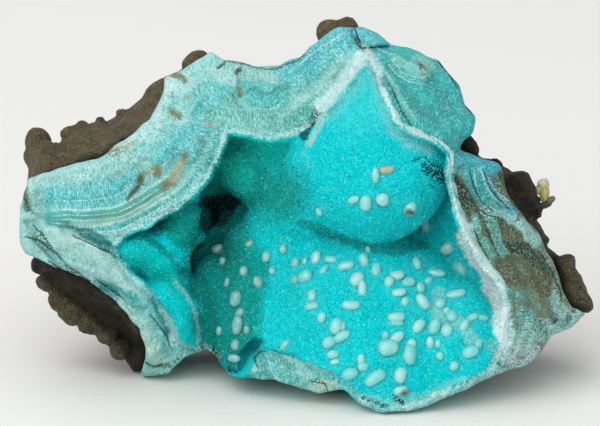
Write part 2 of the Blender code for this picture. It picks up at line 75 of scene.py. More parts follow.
MATRIX_EDGE = [
    (-44.6, 31.3, 24), (-44.7, 36, 24), (-44.6, 40, 24), (-44.2, 42.6, 25), (-42.6, 43.8, 25),
    (-41.0, 43.6, 25), (-39.8, 42.5, 25), (-38.2, 44.3, 25), (-36, 45.6, 26), (-30.7, 47.2, 26),
    (-27.8, 48.5, 26), (-26.2, 49.7, 26), (-24.6, 52, 26), (-22.8, 53.6, 26), (-19.6, 54.9, 26),
    (-17.5, 55, 26), (-14.4, 55, 27), (-8.8, 54.2, 28), (-2.5, 54.5, 28), (1.9, 57.6, 26),
    (4.6, 59, 26), (7.3, 58.6, 26), (12.5, 56.6, 27), (18.8, 54.2, 27), (23.5, 49.5, 26),
    (25.9, 45.5, 25), (26.9, 43.9, 24), (27.4, 41.2, 24), (28.4, 40.3, 24), (30.8, 39.9, 24),
    (32.3, 38.8, 24), (34.7, 37.5, 24), (36.4, 35.7, 24), (37.4, 33.6, 24), (37.1, 32.4, 24),
    (38.0, 31.6, 24), (37.9, 30.4, 24), (37.1, 30.3, 24), (38.2, 29.0, 24), (39.4, 27.2, 24),
    (39.0, 26.4, 24), (40.1, 24.9, 24), (40.6, 22.0, 24), (42.6, 19.6, 24), (44.4, 17.6, 23),
    (45.0, 16.4, 22), (44.2, 15.6, 22), (40.9, 15, 24), (37, 13.1, 27), (30.7, 10.7, 30),
    (21.2, 9, 34), (11.7, 8.1, 36), (2.2, 8.1, 36), (-7.3, 8.7, 35), (-13.6, 10.7, 31),
    (-18.3, 10.3, 28), (-22.3, 8.1, 26), (-25.6, 5.5, 23), (-27.8, 6.2, 22), (-29.4, 8.6, 21),
    (-31.2, 11, 21), (-33.8, 12.7, 21), (-37, 14.8, 21), (-39.9, 16.9, 21), (-41.8, 19.6, 21),
    (-43, 22.6, 21), (-43.9, 25.8, 22), (-44.4, 28.6, 23),
]
HOLLOW_EDGE = [
    (9.2, 56.7, 8), (10.7, 53.9, 6), (12.3, 49.8, 2.5), (13.7, 46, -0.5), (16, 44.4, -0.5),
    (19.9, 42.7, 1), (22.4, 40.8, 2.5), (22.1, 38.1, 2), (22.8, 34.9, 1.5), (23.7, 31.3, 1),
    (25, 27.6, 0.5), (26.5, 24.6, 0), (28.6, 22.1, 0), (30.5, 19.6, 0), (31.1, 16.9, 0),
    (30.8, 13.9, 0), (30.2, 10.2, 0), (28.4, 7.0, 0), (24.6, 5.0, -0.5), (20.2, 3.3, -1),
    (16, 1.9, -1), (11.9, 1.5, -1), (8.2, 3.2, -1), (5.1, 5.5, 0), (1.9, 7.3, 1), (-0.9, 8.7, 2),
    (-3.2, 10.1, 3), (-6.3, 11.1, 5), (-8.8, 11.5, 7), (-10.2, 10.5, 8), (-10.6, 6.6, 11),
    (-12.3, 7.0, 13), (-13.4, 8.6, 15), (-14.3, 9.6, 15.5), (-15.8, 10.3, 16), (-17.4, 9.9, 16.5),
    (-19.2, 10.3, 16), (-20.6, 11.4, 15), (-21.4, 14.4, 14), (-22.8, 17.9, 13), (-24.6, 19.6, 12),
    (-26.9, 21.3, 11.5), (-28.8, 23.9, 11), (-29.9, 26.2, 10.5), (-28.8, 27.8, 10),
    (-26.5, 28.8, 9.5), (-24.2, 30, 9), (-22.1, 31.3, 8.5), (-19.9, 32.4, 8), (-18.2, 33.8, 8),
    (-16.3, 35.7, 7.5), (-14.9, 37.4, 7.5), (-13.6, 39.3, 7.5), (-13, 41.9, 7), (-12.3, 44.1, 7),
    (-9, 43.5, 7), (-6, 42.8, 7.5), (-3.2, 43.1, 8), (-0.9, 44.1, 8), (0.6, 45.7, 8),
    (2.5, 47.6, 7.5), (4.7, 49.8, 7.5), (6.6, 52.3, 8), (8.1, 54.5, 8),
]

# Where the hollow's upper edge would run on to the far left; the rim's bands follow it.
GUIDE_SPIKE = [
    (-32, 27.1), (-35.6, 27.2), (-39.2, 28.0), (-42.0, 29.0), (-45.5, 30.8), (-42.0, 29.5),
    (-39.2, 28.5), (-35.6, 27.7), (-32, 27.6),
]
SPIKE_START = (-29.9, 26.2)

# A slab of rock that stands off the far right edge, and how far into the rock it reaches.
BLOCK_EDGE = [
    (39.6, 24.2), (40.6, 24.8), (42.6, 24.6), (42.9, 24.0), (42.5, 23.0), (43.4, 21.9),
    (44.0, 20.2), (45.4, 18.0), (45.5, 16.5), (44.6, 15.8), (41.9, 15.8), (40.9, 18.0),
]
BLOCK_DEPTH = (15.2, 25.0)

# Rounded masses that swell into the hollow: centre, half sizes and how widely each
# blends into what is beside it.
LOBES = [
    ((10.9, 11.2, 39.0), (11.9, 11.8, 12.4), 0.7),    # great dome
    ((9.4, 12.0, 47.0), (7.4, 9.4, 10.0), 5.0),       # its neck, up to the peak of the rim
    ((3.4, 16.0, 38.0), (7.0, 10.5, 9.5), 3.0),       # its left shoulder
    ((9.3, 21.0, 3.0), (23.0, 23.0, 26.5), 0.9),      # lower lobe
    ((24.5, 13.5, 8.0), (9.0, 13.8, 13.0), 2.5),      # its right shoulder
    ((-9.0, 17.5, 14.5), (5.0, 9.5, 12.0), 3.0),      # its left flank
    ((-14.8, 22.0, 13.5), (4.6, 8.0, 11.0), 3.0),     # smooth ground between it and the pillar
    ((-26.6, 16.2, 25.4), (5.0, 6.2, 3.2), 0.6),      # bright bulge under the left rim
    ((-22.8, 16.8, 23.6), (3.8, 6.2, 2.9), 1.5),      # its lower end
    ((-19.3, 20.0, 31.0), (3.9, 8.4, 4.6), 0.8),      # curtain in the rim's shade
    ((-21.3, 19.5, 27.2), (3.3, 7.0, 3.7), 1.5),      # its lower end
    ((-19.9, 17.3, 13.6), (3.1, 6.6, 7.0), 0.8),      # left pillar
    ((-21.6, 17.8, 19.4), (3.0, 5.6, 4.4), 1.8),      # its upper end
    ((-6.0, 23.5, 39.0), (8.5, 9.0, 6.5), 2.0),       # back lobe
    ((-1.5, 20.0, 33.5), (7.0, 8.5, 8.0), 2.5),       # back lobe beside the dome
    ((-5.0, 22.0, 25.5), (7.5, 8.5, 7.0), 2.0),       # lower back lobe
    ((2.3, 8.6, 45.7), (0.6, 3.2, 1.6), 0.3),         # fin beside the dome
    ((1.1, 8.8, 43.9), (0.5, 3.0, 1.5), 0.3),         # its lower end
]

# Pockets that widen the hollow behind its rim: centre and half sizes.
POCKETS = {
    "deep hole": ((-13.0, 19.0, 32.5), (4.4, 6.8, 4.6)),
    "left gallery": ((-22.0, 17.5, 27.5), (8.0, 5.5, 6.0)),
    "right gallery": ((22.5, 8.0, 27.0), (4.2, 4.0, 5.5)),
}

# The rock's rounded masses behind the crust: centre and half sizes.
SWELLINGS = [
    ((-28, 33, 36), (13, 8, 10)), ((-12, 38, 42), (14, 8, 10)), ((10, 38, 41), (13, 8, 11)),
    ((24, 33, 30.5), (11, 8, 9.5)), ((-31, 30, 22), (11, 7, 9)), ((-11, 39, 26), (14, 8, 11)),
    ((13, 39, 23), (14, 8, 10)), ((32, 30, 20), (9, 7, 7)), ((-2, 33, 47), (12, 8, 6)),
    ((17, 32, 46), (8, 7, 5)), ((-26, 30, 42), (8, 6, 6)), ((-37, 28, 34), (7, 6, 9)),
]

# Knobs along the rock's edges: centre and radius.
KNOBS = [
    (-42.9, 25, 43.2, 2.1), (-43.0, 25, 40.4, 2.2), (-37.6, 25, 44.2, 1.6), (-35.8, 25, 44.9, 1.6),
    (-33.0, 25, 46.2, 1.0), (-29.6, 24, 47.2, 1.0), (-24.8, 23, 50.8, 0.9), (-17.7, 23, 55.2, 2.0),
    (-16.6, 23, 55.6, 1.7), (4.0, 21, 60.2, 2.3), (6.2, 21.5, 60.7, 2.1), (-39.5, 18, 17.6, 1.6),
    (-37.4, 18, 15.8, 1.9), (-34.4, 18, 14.0, 1.8), (-31.6, 18, 12.4, 1.7), (-29.6, 18, 9.8, 1.6),
    (-41.4, 18, 20.6, 1.4), (-42.6, 20, 23.4, 1.3),
    (33.8, 19, 36.4, 2.1), (34.6, 19, 34.8, 2.1), (25.6, 17, 42.6, 1.5), (26.0, 17, 41.4, 1.4),
    (41.4, 19, 22.8, 1.6), (43.6, 20, 17.6, 1.4), (36.4, 20, 32.4, 1.3), (30.0, 18, 38.8, 1.3),
]

# The parts of the yellow crystal: centre, half sizes, lean in degrees and colour.
YELLOW_CRYSTAL = [
    ((37.9, 22.0, 36.2), (1.0, 0.9, 0.8), 70, "tan"),
    ((38.1, 22.0, 34.6), (1.3, 0.75, 0.8), 8, "yellow"),
    ((37.2, 22.2, 35.3), (0.8, 0.6, 0.7), 20, "tan"),
    ((39.1, 22.0, 33.6), (0.9, 0.6, 0.6), 50, "bronze"),
    ((38.0, 22.2, 32.8), (1.4, 0.6, 0.8), 70, "umber"),
]

# Rice-grain crystals, in pixels of the picture: place, length, width, and lean from upright
# to the right in degrees.
GRAINS = [
    # on the great dome
    (375, 175, 16, 8, 0), (386, 170, 16, 8, 82), (366, 203, 17, 13, 10), (382, 199, 15, 14, 0),
    (354, 199, 12, 8, 70), (409, 208, 16, 14, 20), (426, 224, 17, 12, -12), (320, 211, 9, 8, 0),
    # on the right of the lower lobe
    (448, 248, 15, 13, 60), (461, 270, 20, 14, -38), (436, 274, 18, 10, 84), (416, 265, 17, 10, 4),
    (455, 295, 21, 11, 74), (440, 304, 14, 13, 0), (452, 317, 15, 13, -10), (447, 331, 14, 13, 20),
    (435, 328, 17, 13, 12), (422, 303, 19, 13, -28), (418, 327, 16, 11, 42), (420, 289, 13, 10, 0),
    (399, 293, 15, 10, 78), (408, 284, 14, 11, 60), (397, 276, 15, 12, 70), (389, 283, 12, 10, 10),
    (376, 271, 16, 11, 8), (364, 262, 15, 11, -12), (368, 250, 8, 6, 0), (357, 280, 17, 14, 35),
    (362, 289, 17, 9, 4), (346, 267, 17, 11, 72), (331, 260, 14, 9, 110), (396, 318, 17, 11, 85),
    (464, 326, 14, 9, 28), (472, 318, 15, 8, 60), (482, 318, 12, 8, 88), (470, 352, 18, 13, 70),
    (478, 344, 12, 9, 20), (440, 356, 9, 9, 0), (438, 344, 9, 7, 0), (454, 366, 11, 10, 30),
    (430, 343, 13, 8, 0), (447, 312, 9, 8, 0), (428, 281, 10, 8, 40), (405, 302, 10, 8, 20),
    # in the middle
    (351, 306, 18, 11, 86), (312, 297, 15, 10, 0), (312, 307, 15, 10, 78), (336, 327, 17, 13, 10),
    (343, 327, 10, 7, 0), (329, 343, 15, 13, 60), (342, 337, 20, 11, 60), (306, 278, 17, 15, 30),
    (317, 259, 15, 11, 0), (305, 262, 8, 7, 0), (296, 264, 11, 10, 0), (296, 281, 11, 11, 0),
    (283, 249, 11, 9, 0), (324, 270, 12, 8, 30), (333, 355, 13, 10, 80), (335, 362, 9, 6, 80),
    (310, 366, 13, 9, 80), (285, 345, 13, 7, 42), (322, 318, 12, 9, 10),
    # near the lower edge
    (388, 348, 20, 18, 80), (385, 336, 10, 9, 0), (396, 339, 20, 11, 50), (409, 355, 21, 14, 0),
    (411, 345, 12, 10, 20), (400, 376, 18, 13, 8), (401, 391, 16, 11, 84), (375, 378, 24, 13, 55),
    (361, 360, 12, 8, 0), (363, 367, 12, 10, 80), (350, 374, 17, 13, 66), (328, 373, 17, 16, 0),
    (397, 323, 14, 8, 85),
    # on the greyish left flank
    (219, 251, 13, 12, 80), (223, 262, 9, 8, 0), (266, 257, 12, 9, 10), (258, 283, 13, 11, 0),
    (237, 299, 17, 13, 10), (238, 325, 20, 11, 4), (236, 345, 12, 11, 0), (235, 358, 14, 9, 86),
    (244, 272, 12, 9, 0), (247, 330, 9, 7, 0), (220, 331, 10, 8, 0), (240, 313, 11, 9, 40),
    (228, 283, 10, 8, 0), (272, 272, 9, 8, 0), (250, 244, 10, 8, 60),
]

# Places of the one grain that is a tan rod, and of those with dark spots.
TAN_ROD = (386, 170)
SPOTTED_GRAINS = [(382, 199), (409, 208), (401, 391), (350, 374)]

# The tiny points of the druse: how many, how large in millimetres, how much each leans at
# random and how deep it is rooted.
POINT_COUNT = 42000
POINT_RADII = (0.12, 0.24)
POINT_HEIGHTS = (0.08, 0.3)
POINT_LEAN = 0.35
POINT_ROOT = 0.06

# Sample steps of the druse, the crust and the rock, and the block that holds them all.
FINE_STEP = 0.42
CRUST_STEP = 0.475
COARSE_STEP = 0.56
FIELD_LOW = (-47.0, -4.0, -2.0)
FIELD_HIGH = (47.0, 50.0, 63.0)

# The crust: how far its front stands before the depth given for its outer edge, how round
# that edge and the back one are, how deep the crust reaches behind it, how high its crumbs
# are, and how much rougher its right side is.
CRUST_SHOULDER = 4.0
RIM_ROUNDING = 1.6
CRUST_BACK_ROUNDING = 0.9
CRUST_BACK = 17.5
CRUMB_HEIGHT = 0.6
RIGHT_ROUGHNESS = 0.4

# The hollow's back wall: its depth at one x, how it comes forward to the right and how
# round its edge is, and how softly the pockets open.
HOLLOW_BACK = 25.0
HOLLOW_BACK_X = -13.0
HOLLOW_BACK_SLOPE = 0.22
HOLLOW_BACK_ROUNDING = 7.0
POCKET_BLEND = 1.5

# The rock: how far it stays behind the crust's edge, how deep it reaches, how round its
# edges are, how softly its swellings, its slab and its knobs join it, and its gap to the crust.
MATRIX_SETBACK = 1.2
MATRIX_BACK = 18.0
MATRIX_ROUNDING = 1.5
SWELLING_BLEND = 1.2
BLOCK_ROUNDING = 0.5
BLOCK_BLEND = 0.3
KNOB_BLEND = 0.5
MATRIX_GAP = 0.5

# How far the crust reaches under the lining, and the lining stays inside the crust's front.
LINING_OVERLAP = 0.4
LINING_SETBACK = 0.1

# Layers of noise on the forms: millimetres, size of the features and seed.
OUTER_NOISE = [(0.2, 1.3, 11), (0.15, 4.0, 12)]
INNER_NOISE = [(0.28, 1.3, 11), (0.3, 4.0, 12)]
FRONT_NOISE = [(0.26, 1.1, 2), (0.42, 2.4, 3), (0.35, 6.0, 4)]
ROCK_NOISE = [(0.4, 4.0, 32), (0.4, 1.9, 33)]

# The camera: millimetres to one pixel of the 600 by 426 picture, where its middle falls
# on the face, and how far off the camera stands, with its sensor's width in millimetres.
PIXEL = 0.158
PICTURE_MIDDLE = (300.0, 213.0)
AIM = (-0.95, 8.0, 31.6)
CAMERA_DISTANCE = 1200.0
SENSOR_WIDTH = 36.0

# Named colours, as 0 to 255 in sRGB.
COLOURS = {
    "white": (234, 250, 250),
    "chalk": (216, 240, 238),
    "ice": (178, 242, 240),
    "frost": (176, 222, 217),
    "pale mint": (168, 214, 206),
    "mint": (140, 208, 198),
    "sea green": (104, 178, 156),
    "pale turquoise": (128, 208, 204),
    "turquoise": (88, 198, 198),
    "sky": (80, 192, 206),
    "deep sky": (52, 176, 194),
    "teal": (44, 164, 160),
    "deep turquoise": (50, 192, 188),
    "dark teal": (22, 112, 106),
    "night teal": (8, 52, 44),
    "rust": (134, 122, 88),
    "orange rust": (156, 118, 72),
    "plate": (190, 228, 220),
    "mist": (150, 190, 184),
    "tan": (188, 186, 152),
    "cream": (200, 218, 190),
    "pale line": (214, 240, 226),
    "pale grain": (192, 240, 234),
    "olive": (98, 93, 70),
    "bronze": (112, 98, 66),
    "umber": (58, 50, 37),
    "black": (24, 26, 20),
    "moss": (112, 124, 96),
    # Painted shade and painted light for the hollow's back wall and curtain: a darker teal and a lighter
    # one.
    "wall": (10, 146, 132),
    "wall painted light": (24, 224, 208),
    "druse": (0, 214, 220),
    "druse light": (70, 224, 224),
    # Darker druse colours, painted as shade deeper in the hollow, in its creases and on its left side;
    # they also serve as random mottle and grain.
    "druse mottle and shade": (0, 176, 166),
    "druse shade": (4, 120, 108),
    # Near black, painted as shade in the deep hole and in the gap beside the fin.
    "hole shade": (1, 12, 9),
    "grain": (104, 220, 216),
    "dull grain": (116, 176, 164),
    "yellow": (176, 166, 104),
}

# What shows on the broken rim, in pixels of the picture: colour, points of the stroke,
# half width, softness and strength.
RIM_STROKES = [
    ("sky", [(60, 205), (110, 190), (150, 170), (175, 150)], 14, 14, 0.5),
    ("turquoise", [(60, 211), (100, 204), (140, 189), (170, 171)], 5, 7, 0.45),
    ("chalk", [(35, 180), (75, 171), (112, 153), (128, 143)], 4, 4, 0.7),
    ("frost", [(46, 180), (70, 174), (94, 168)], 6, 4, 0.8),
    ("cream", [(106, 164), (116, 160), (124, 156)], 6, 4, 0.6),
    ("frost", [(118, 168), (108, 160), (100, 158)], 6, 4, 0.7),
    ("pale mint", [(104, 162), (118, 166)], 7, 4, 0.8),
    ("chalk", [(166, 88), (162, 112), (150, 132), (120, 146)], 5, 6, 0.7),
    ("frost", [(185, 78), (205, 62), (222, 70)], 8, 8, 0.6),
    ("chalk", [(176, 80), (190, 95), (186, 118)], 5, 9, 0.5),
    ("chalk", [(215, 73), (232, 78), (240, 70)], 4, 4, 0.7),
    ("turquoise", [(192, 100), (205, 108), (215, 96)], 7, 9, 0.6),
    ("sky", [(200, 128), (188, 148), (176, 158)], 8, 9, 0.6),
    ("rust", [(158, 172), (148, 174), (140, 180)], 7, 4, 0.9),
    ("olive", [(140, 184), (135, 192), (129, 199)], 2.5, 2, 0.95),
    ("orange rust", [(154, 178), (158, 174)], 1.5, 1.5, 0.6),
    ("cream", [(136, 160), (146, 168), (148, 178)], 5, 5, 0.5),
    ("rust", [(186, 155), (178, 170), (166, 186)], 5, 6, 0.85),
    ("orange rust", [(170, 182), (177, 173), (182, 163)], 1.5, 2.5, 0.6),
    ("tan", [(170, 164), (176, 170)], 3, 5, 0.5),
    ("rust", [(174, 113), (182, 117)], 4, 4, 0.8),
    ("rust", [(170, 92), (172, 98)], 2, 2, 0.7),
    ("tan", [(184, 97), (190, 101)], 3, 3, 0.6),
    ("rust", [(196, 138), (202, 143)], 3, 4, 0.7),
    ("tan", [(205, 124), (216, 126)], 4, 5, 0.6),
    ("moss", [(206, 113), (216, 110)], 4, 4, 0.5),
    ("rust", [(240, 71), (241, 82), (238, 92), (236, 100)], 3.5, 3, 0.9),
    ("umber", [(226, 61), (222, 66), (218, 68)], 2, 2, 0.8),
    ("rust", [(170, 74), (178, 76), (182, 80)], 4, 3, 0.7),
    ("tan", [(108, 152), (116, 150), (126, 146), (136, 142)], 3, 4, 0.7),
    ("rust", [(112, 156), (118, 154)], 2, 2, 0.6),
    # stains at the rim's inner corner
    ("rust", [(217, 158), (213, 164), (209, 170)], 2, 2.5, 0.7),
    ("rust", [(224, 134), (218, 142)], 2, 3, 0.5),
    # lower left plates
    ("sky", [(70, 234), (92, 240), (112, 248), (122, 262)], 5, 5, 0.8),
    ("teal", [(44, 226), (66, 228), (76, 236), (104, 246), (124, 256)], 4, 3, 0.8),
    # painted shadow along the jagged edge between the bands and the plate
    ("dark teal", [(78, 233), (98, 240), (113, 249), (125, 262), (133, 275)], 1.2, 3, 0.75),
    ("plate", [(50, 238), (72, 246), (96, 260), (116, 274), (136, 298)], 11, 2, 1.0),
    ("mist", [(62, 250), (84, 262), (110, 280)], 3, 4, 0.5),
    ("pale mint", [(26, 247), (38, 257), (50, 266)], 6, 3, 0.95),
    ("mist", [(28, 182), (30, 200), (34, 214)], 7, 4, 0.8),
    ("bronze", [(25, 182), (26, 196), (28, 210), (32, 220)], 4, 4, 0.8),
    ("chalk", [(30, 180), (32, 188)], 2, 3, 0.8),
    ("umber", [(28, 205), (34, 222), (42, 232)], 2.5, 4, 0.5),
    ("frost", [(26, 222), (36, 230), (44, 238)], 7, 4, 0.9),
    ("night teal", [(30, 222), (36, 230), (42, 234)], 3, 5, 0.5),
    ("pale mint", [(66, 272), (88, 282), (108, 292), (114, 300)], 6, 3, 0.9),
    ("teal", [(108, 285), (120, 293), (132, 301), (146, 315)], 5, 3, 0.95),
    ("frost", [(126, 312), (140, 316), (152, 318)], 4, 4, 0.8),
    ("pale mint", [(120, 304), (132, 320), (146, 340), (156, 362)], 5, 4, 0.8),
    ("pale turquoise", [(150, 300), (158, 322), (166, 345)], 8, 6, 0.8),
    ("teal", [(138, 266), (148, 284), (156, 304), (166, 330)], 3, 3, 0.85),
    ("white", [(146, 262), (158, 268), (167, 282), (173, 300), (176, 322)], 2.2, 3, 0.9),
    ("chalk", [(152, 283), (160, 291), (166, 304), (172, 318)], 2, 3, 0.8),
    ("dark teal", [(150, 292), (157, 300), (162, 312)], 1.2, 3, 0.7),
    ("cream", [(142, 334), (150, 346), (156, 356)], 5, 5, 0.6),
    ("chalk", [(160, 300), (168, 312), (174, 328), (172, 342)], 3, 4, 0.6),
    ("umber", [(146, 362), (154, 366), (166, 364), (170, 368)], 1.6, 2, 0.8),
    ("frost", [(22, 218), (34, 226), (42, 234)], 5, 5, 0.5),
    # upper rim
    ("sky", [(300, 62), (320, 46), (346, 36)], 12, 9, 0.9),
    ("deep sky", [(284, 76), (300, 66), (314, 54)], 5, 5, 0.7),
    ("turquoise", [(256, 82), (280, 80), (300, 84)], 12, 9, 0.6),
    ("cream", [(246, 76), (262, 74), (274, 76)], 4, 4, 0.6),
    ("umber", [(228, 61), (244, 65), (262, 68), (280, 68), (296, 62), (305, 54)], 1.4, 1.5, 0.8),
    ("deep turquoise", [(252, 96), (262, 103), (276, 103), (284, 96)], 5, 4, 0.7),
    ("mint", [(226, 98), (234, 99), (242, 106), (254, 113), (268, 114), (282, 110), (294, 102)],
     2.4, 2, 0.9),
    ("dark teal", [(223, 98), (234, 101), (246, 112), (255, 116.6), (265, 118), (274, 115.5), (283, 111)],
     0.5, 1.5, 0.6),
    ("frost", [(300, 96), (316, 92), (330, 84)], 7, 7, 0.6),
    ("sea green", [(236, 118), (262, 122), (296, 120), (312, 112)], 5, 6, 0.6),
    ("chalk", [(231, 132), (250, 138), (270, 141), (300, 133)], 2.5, 3, 0.8),
    ("rust", [(248, 137), (262, 141), (282, 141)], 1.6, 2, 0.6),
    ("frost", [(232, 124), (252, 128), (280, 130)], 3, 4, 0.6),
    # painted shadow in the gap beside the fin
    ("hole shade", [(318, 112), (314, 120), (310, 129)], 3, 2, 1.0),
    # the white ridges that meet at the peak
    ("white", [(362, 52), (352, 72), (342, 86), (330, 100), (322, 106)], 5, 4, 1.0),
    ("frost", [(350, 60), (334, 78), (318, 94), (302, 104)], 3, 4, 0.6),
    ("white", [(365, 50), (376, 66), (382, 84), (388, 106), (396, 124)], 2.2, 3, 0.9),
    ("white", [(396, 124), (408, 134), (434, 145), (450, 158)], 1.6, 3.5, 0.8),
    ("frost", [(372, 56), (386, 74), (396, 90), (404, 106), (416, 120)], 1.2, 1.6, 0.7),
    ("teal", [(384, 80), (392, 96), (400, 112), (408, 126)], 2, 2.5, 0.7),
    # slab
    ("mint", [(398, 62), (410, 68), (424, 74), (428, 68), (418, 60)], 4, 4, 0.8),
    ("tan", [(420, 66), (427, 70)], 3, 3, 0.7),
    ("umber", [(421, 74), (428, 77)], 1.4, 1.4, 0.8),
    ("umber", [(416, 60), (420, 70)], 0.9, 1, 0.6),
    ("deep sky", [(446, 70), (460, 88), (470, 110), (474, 128)], 5, 10, 0.4),
    ("deep turquoise", [(440, 135), (452, 130), (462, 138)], 8, 10, 0.6),
    ("umber", [(440, 145), (443, 141)], 2.5, 2, 0.6),
    ("umber", [(437, 57), (446, 67), (455, 79), (462, 90), (466, 101), (473, 112)], 2.2, 1.5, 0.9),
    ("sky", [(360, 30), (372, 38), (382, 45)], 7, 4, 0.8),
    ("black", [(355, 38), (359, 47), (362, 48)], 1.6, 1.5, 0.95),
    ("umber", [(362, 48), (376, 47), (388, 46)], 1.2, 1.5, 0.8),
    # right
    ("white", [(450, 160), (446, 172), (450, 192), (458, 218), (470, 248), (484, 270)], 2, 3.5, 1.0),
    ("white", [(484, 270), (497, 288), (503, 306), (504, 322), (509, 345)], 5, 3, 0.95),
    ("chalk", [(506, 340), (512, 352), (528, 358)], 10, 6, 0.7),
    ("tan", [(488, 350), (494, 354)], 3, 3, 0.6),
    ("rust", [(519, 355), (524, 358)], 3, 3, 0.7),
    ("deep sky", [(456, 162), (472, 160), (492, 166)], 7, 4, 0.85),
    ("deep sky", [(480, 165), (496, 168)], 5, 3, 0.6),
    ("umber", [(458, 184), (465, 194), (471, 206), (473, 214)], 8, 2.5, 1.0),
    ("deep sky", [(476, 170), (482, 188), (494, 202), (508, 214)], 8, 4, 0.9),
    ("olive", [(482, 222), (494, 244), (506, 266), (516, 282)], 12, 4, 0.85),
    ("olive", [(506, 232), (524, 252), (544, 280)], 13, 5, 0.95),
    ("umber", [(512, 252), (536, 262), (552, 285)], 5, 6, 0.5),
    ("moss", [(474, 222), (484, 244), (492, 262)], 3, 3, 0.8),
    ("sea green", [(474, 216), (480, 232), (487, 246), (494, 260)], 3.2, 1.2, 1.0),
    ("sea green", [(491, 220), (496, 234), (502, 250)], 5, 1.5, 1.0),
    ("pale mint", [(486, 211), (500, 214), (512, 218)], 4, 3, 0.8),
    ("teal", [(474, 172), (480, 186), (488, 198), (498, 208)], 2, 4, 0.8),
    ("umber", [(500, 172), (507, 186), (514, 202), (524, 216)], 3, 3, 1.0),
    ("pale mint", [(522, 224), (530, 238), (536, 242)], 5, 2, 0.95),
    ("olive", [(500, 268), (520, 282), (548, 298)], 10, 7, 0.95),
    ("olive", [(526, 300), (544, 320), (552, 310)], 6, 8, 0.7),
    ("turquoise", [(512, 300), (520, 314), (530, 330)], 6, 9, 0.6),
    ("pale mint", [(512, 324), (530, 336), (548, 330)], 8, 8, 0.8),
    ("moss", [(520, 300), (534, 305), (542, 316)], 5, 6, 0.8),
    ("moss", [(512, 296), (515, 312), (516, 326)], 4, 5, 0.8),
    ("frost", [(552, 298), (562, 308), (566, 318)], 3, 5, 0.7),
    ("dark teal", [(538, 326), (548, 334)], 3, 4, 0.6),
    ("black", [(556, 320), (561, 324), (565, 319)], 3, 2, 0.95),
    ("frost", [(552, 333), (568, 322), (584, 313)], 4, 4, 0.8),
    # bottom
    ("frost", [(532, 364), (500, 378), (466, 390), (434, 400), (400, 408)], 5, 4, 0.8),
    ("druse", [(340, 384), (362, 396), (385, 402), (415, 398), (450, 384)], 6, 5, 0.9),
    ("cream", [(306, 383), (318, 389), (334, 391)], 7, 4, 0.9),
    ("black", [(312, 382), (318, 378), (324, 384)], 1.5, 1.5, 0.7),
    # painted shade on the bottom curl and under the lower lobe
    ("druse mottle and shade", [(240, 374), (245, 362), (250, 350)], 8, 3, 1.0),
    ("druse mottle and shade", [(244, 376), (256, 380), (264, 382)], 5, 3, 0.9),
    ("druse", [(244, 362), (250, 348), (264, 340)], 9, 3, 1.0),
    ("frost", [(268, 344), (276, 346), (286, 350)], 1.5, 2, 0.9),
    ("teal", [(257, 352), (261, 362), (268, 372)], 5, 3, 0.9),
    ("deep turquoise", [(278, 362), (288, 372), (300, 382)], 11, 5, 0.7),
    ("sea green", [(276, 356), (290, 364), (300, 374)], 5, 4, 0.7),
    ("frost", [(288, 356), (298, 364), (308, 374)], 2.5, 3, 0.8),
]

# Relief of the rim's broken face, in the same pixels: points, half width, softness and
# millimetres towards the viewer.
RIM_RELIEF = [
    ([(48, 236), (72, 244), (96, 258), (118, 272), (140, 296)], 10, 2, 0.9),
    ([(36, 238), (44, 246), (56, 258), (68, 270), (82, 277), (100, 285), (118, 297)], 2.2, 3, -1.9),
    ([(66, 231), (84, 237), (104, 245), (120, 258), (132, 274)], 2.5, 3, -1.7),
    ([(98, 282), (112, 290), (128, 299), (142, 310)], 4, 3, -1.2),
    ([(24, 244), (38, 256), (50, 266)], 6, 3, 0.6),
    ([(146, 163), (150, 180), (138, 194)], 5, 3, -0.5),
    ([(182, 160), (168, 186)], 5, 4, -0.6),
    ([(252, 96), (262, 103), (276, 103), (284, 96)], 5, 4, -1.1),
    ([(226, 98), (234, 99), (242, 106), (254, 113), (268, 114), (282, 110), (294, 102)], 1.5, 1.5, 0.6),
    ([(240, 71), (241, 84), (236, 96)], 2, 2, -0.8),
    ([(362, 52), (352, 72), (342, 86), (330, 100), (320, 108)], 4, 5, 0.45),
    ([(376, 66), (382, 84), (388, 106), (396, 124), (408, 134), (434, 145), (450, 158)], 1.5, 3, 0.4),
    ([(384, 80), (392, 96), (400, 112), (408, 126)], 2, 2, -0.7),
    ([(386, 74), (396, 90), (404, 106), (416, 120)], 1, 1.5, 0.5),
    ([(398, 62), (412, 68), (424, 72)], 5, 4, 0.8),
    ([(388, 64), (400, 78), (420, 84), (432, 80)], 1.5, 2, -0.6),
    ([(354, 32), (357, 42), (362, 49), (376, 48), (388, 47)], 1.6, 2, -1.6),
    ([(450, 164), (446, 174), (452, 200), (464, 234), (478, 262)], 2, 4, 0.25),
    ([(484, 270), (498, 288), (503, 306), (500, 322), (508, 345)], 6, 5, 0.2),
    ([(146, 262), (160, 270), (168, 285), (174, 300), (176, 328)], 2.5, 2, 0.9),
    ([(138, 266), (150, 288), (160, 308), (168, 334)], 2, 2, -1.2),
    ([(26, 222), (38, 232), (50, 242)], 1.5, 2, -0.8),
    ([(452, 159), (470, 160), (500, 165)], 5, 2, 0.9),
    ([(456, 184), (468, 196), (474, 210)], 8, 4, -1.3),
    ([(474, 214), (482, 232), (494, 258)], 2, 2, 0.7),
    ([(484, 216), (494, 238), (502, 258)], 1.5, 2, 0.6),
    ([(498, 218), (508, 240), (514, 258)], 2, 2, -0.6),
    ([(522, 224), (530, 238), (536, 242)], 4, 2, 0.6),
    ([(556, 320), (562, 327), (568, 318)], 2, 2, -1.8),
    ([(262, 343), (276, 346), (286, 350)], 1.5, 2, 0.5),
    ([(272, 360), (280, 376), (296, 388)], 8, 4, 1.2),
    ([(258, 356), (262, 366), (268, 378)], 2.5, 3, -0.5),
    ([(164, 330), (168, 344), (171, 352)], 2, 2, -1.0),
]
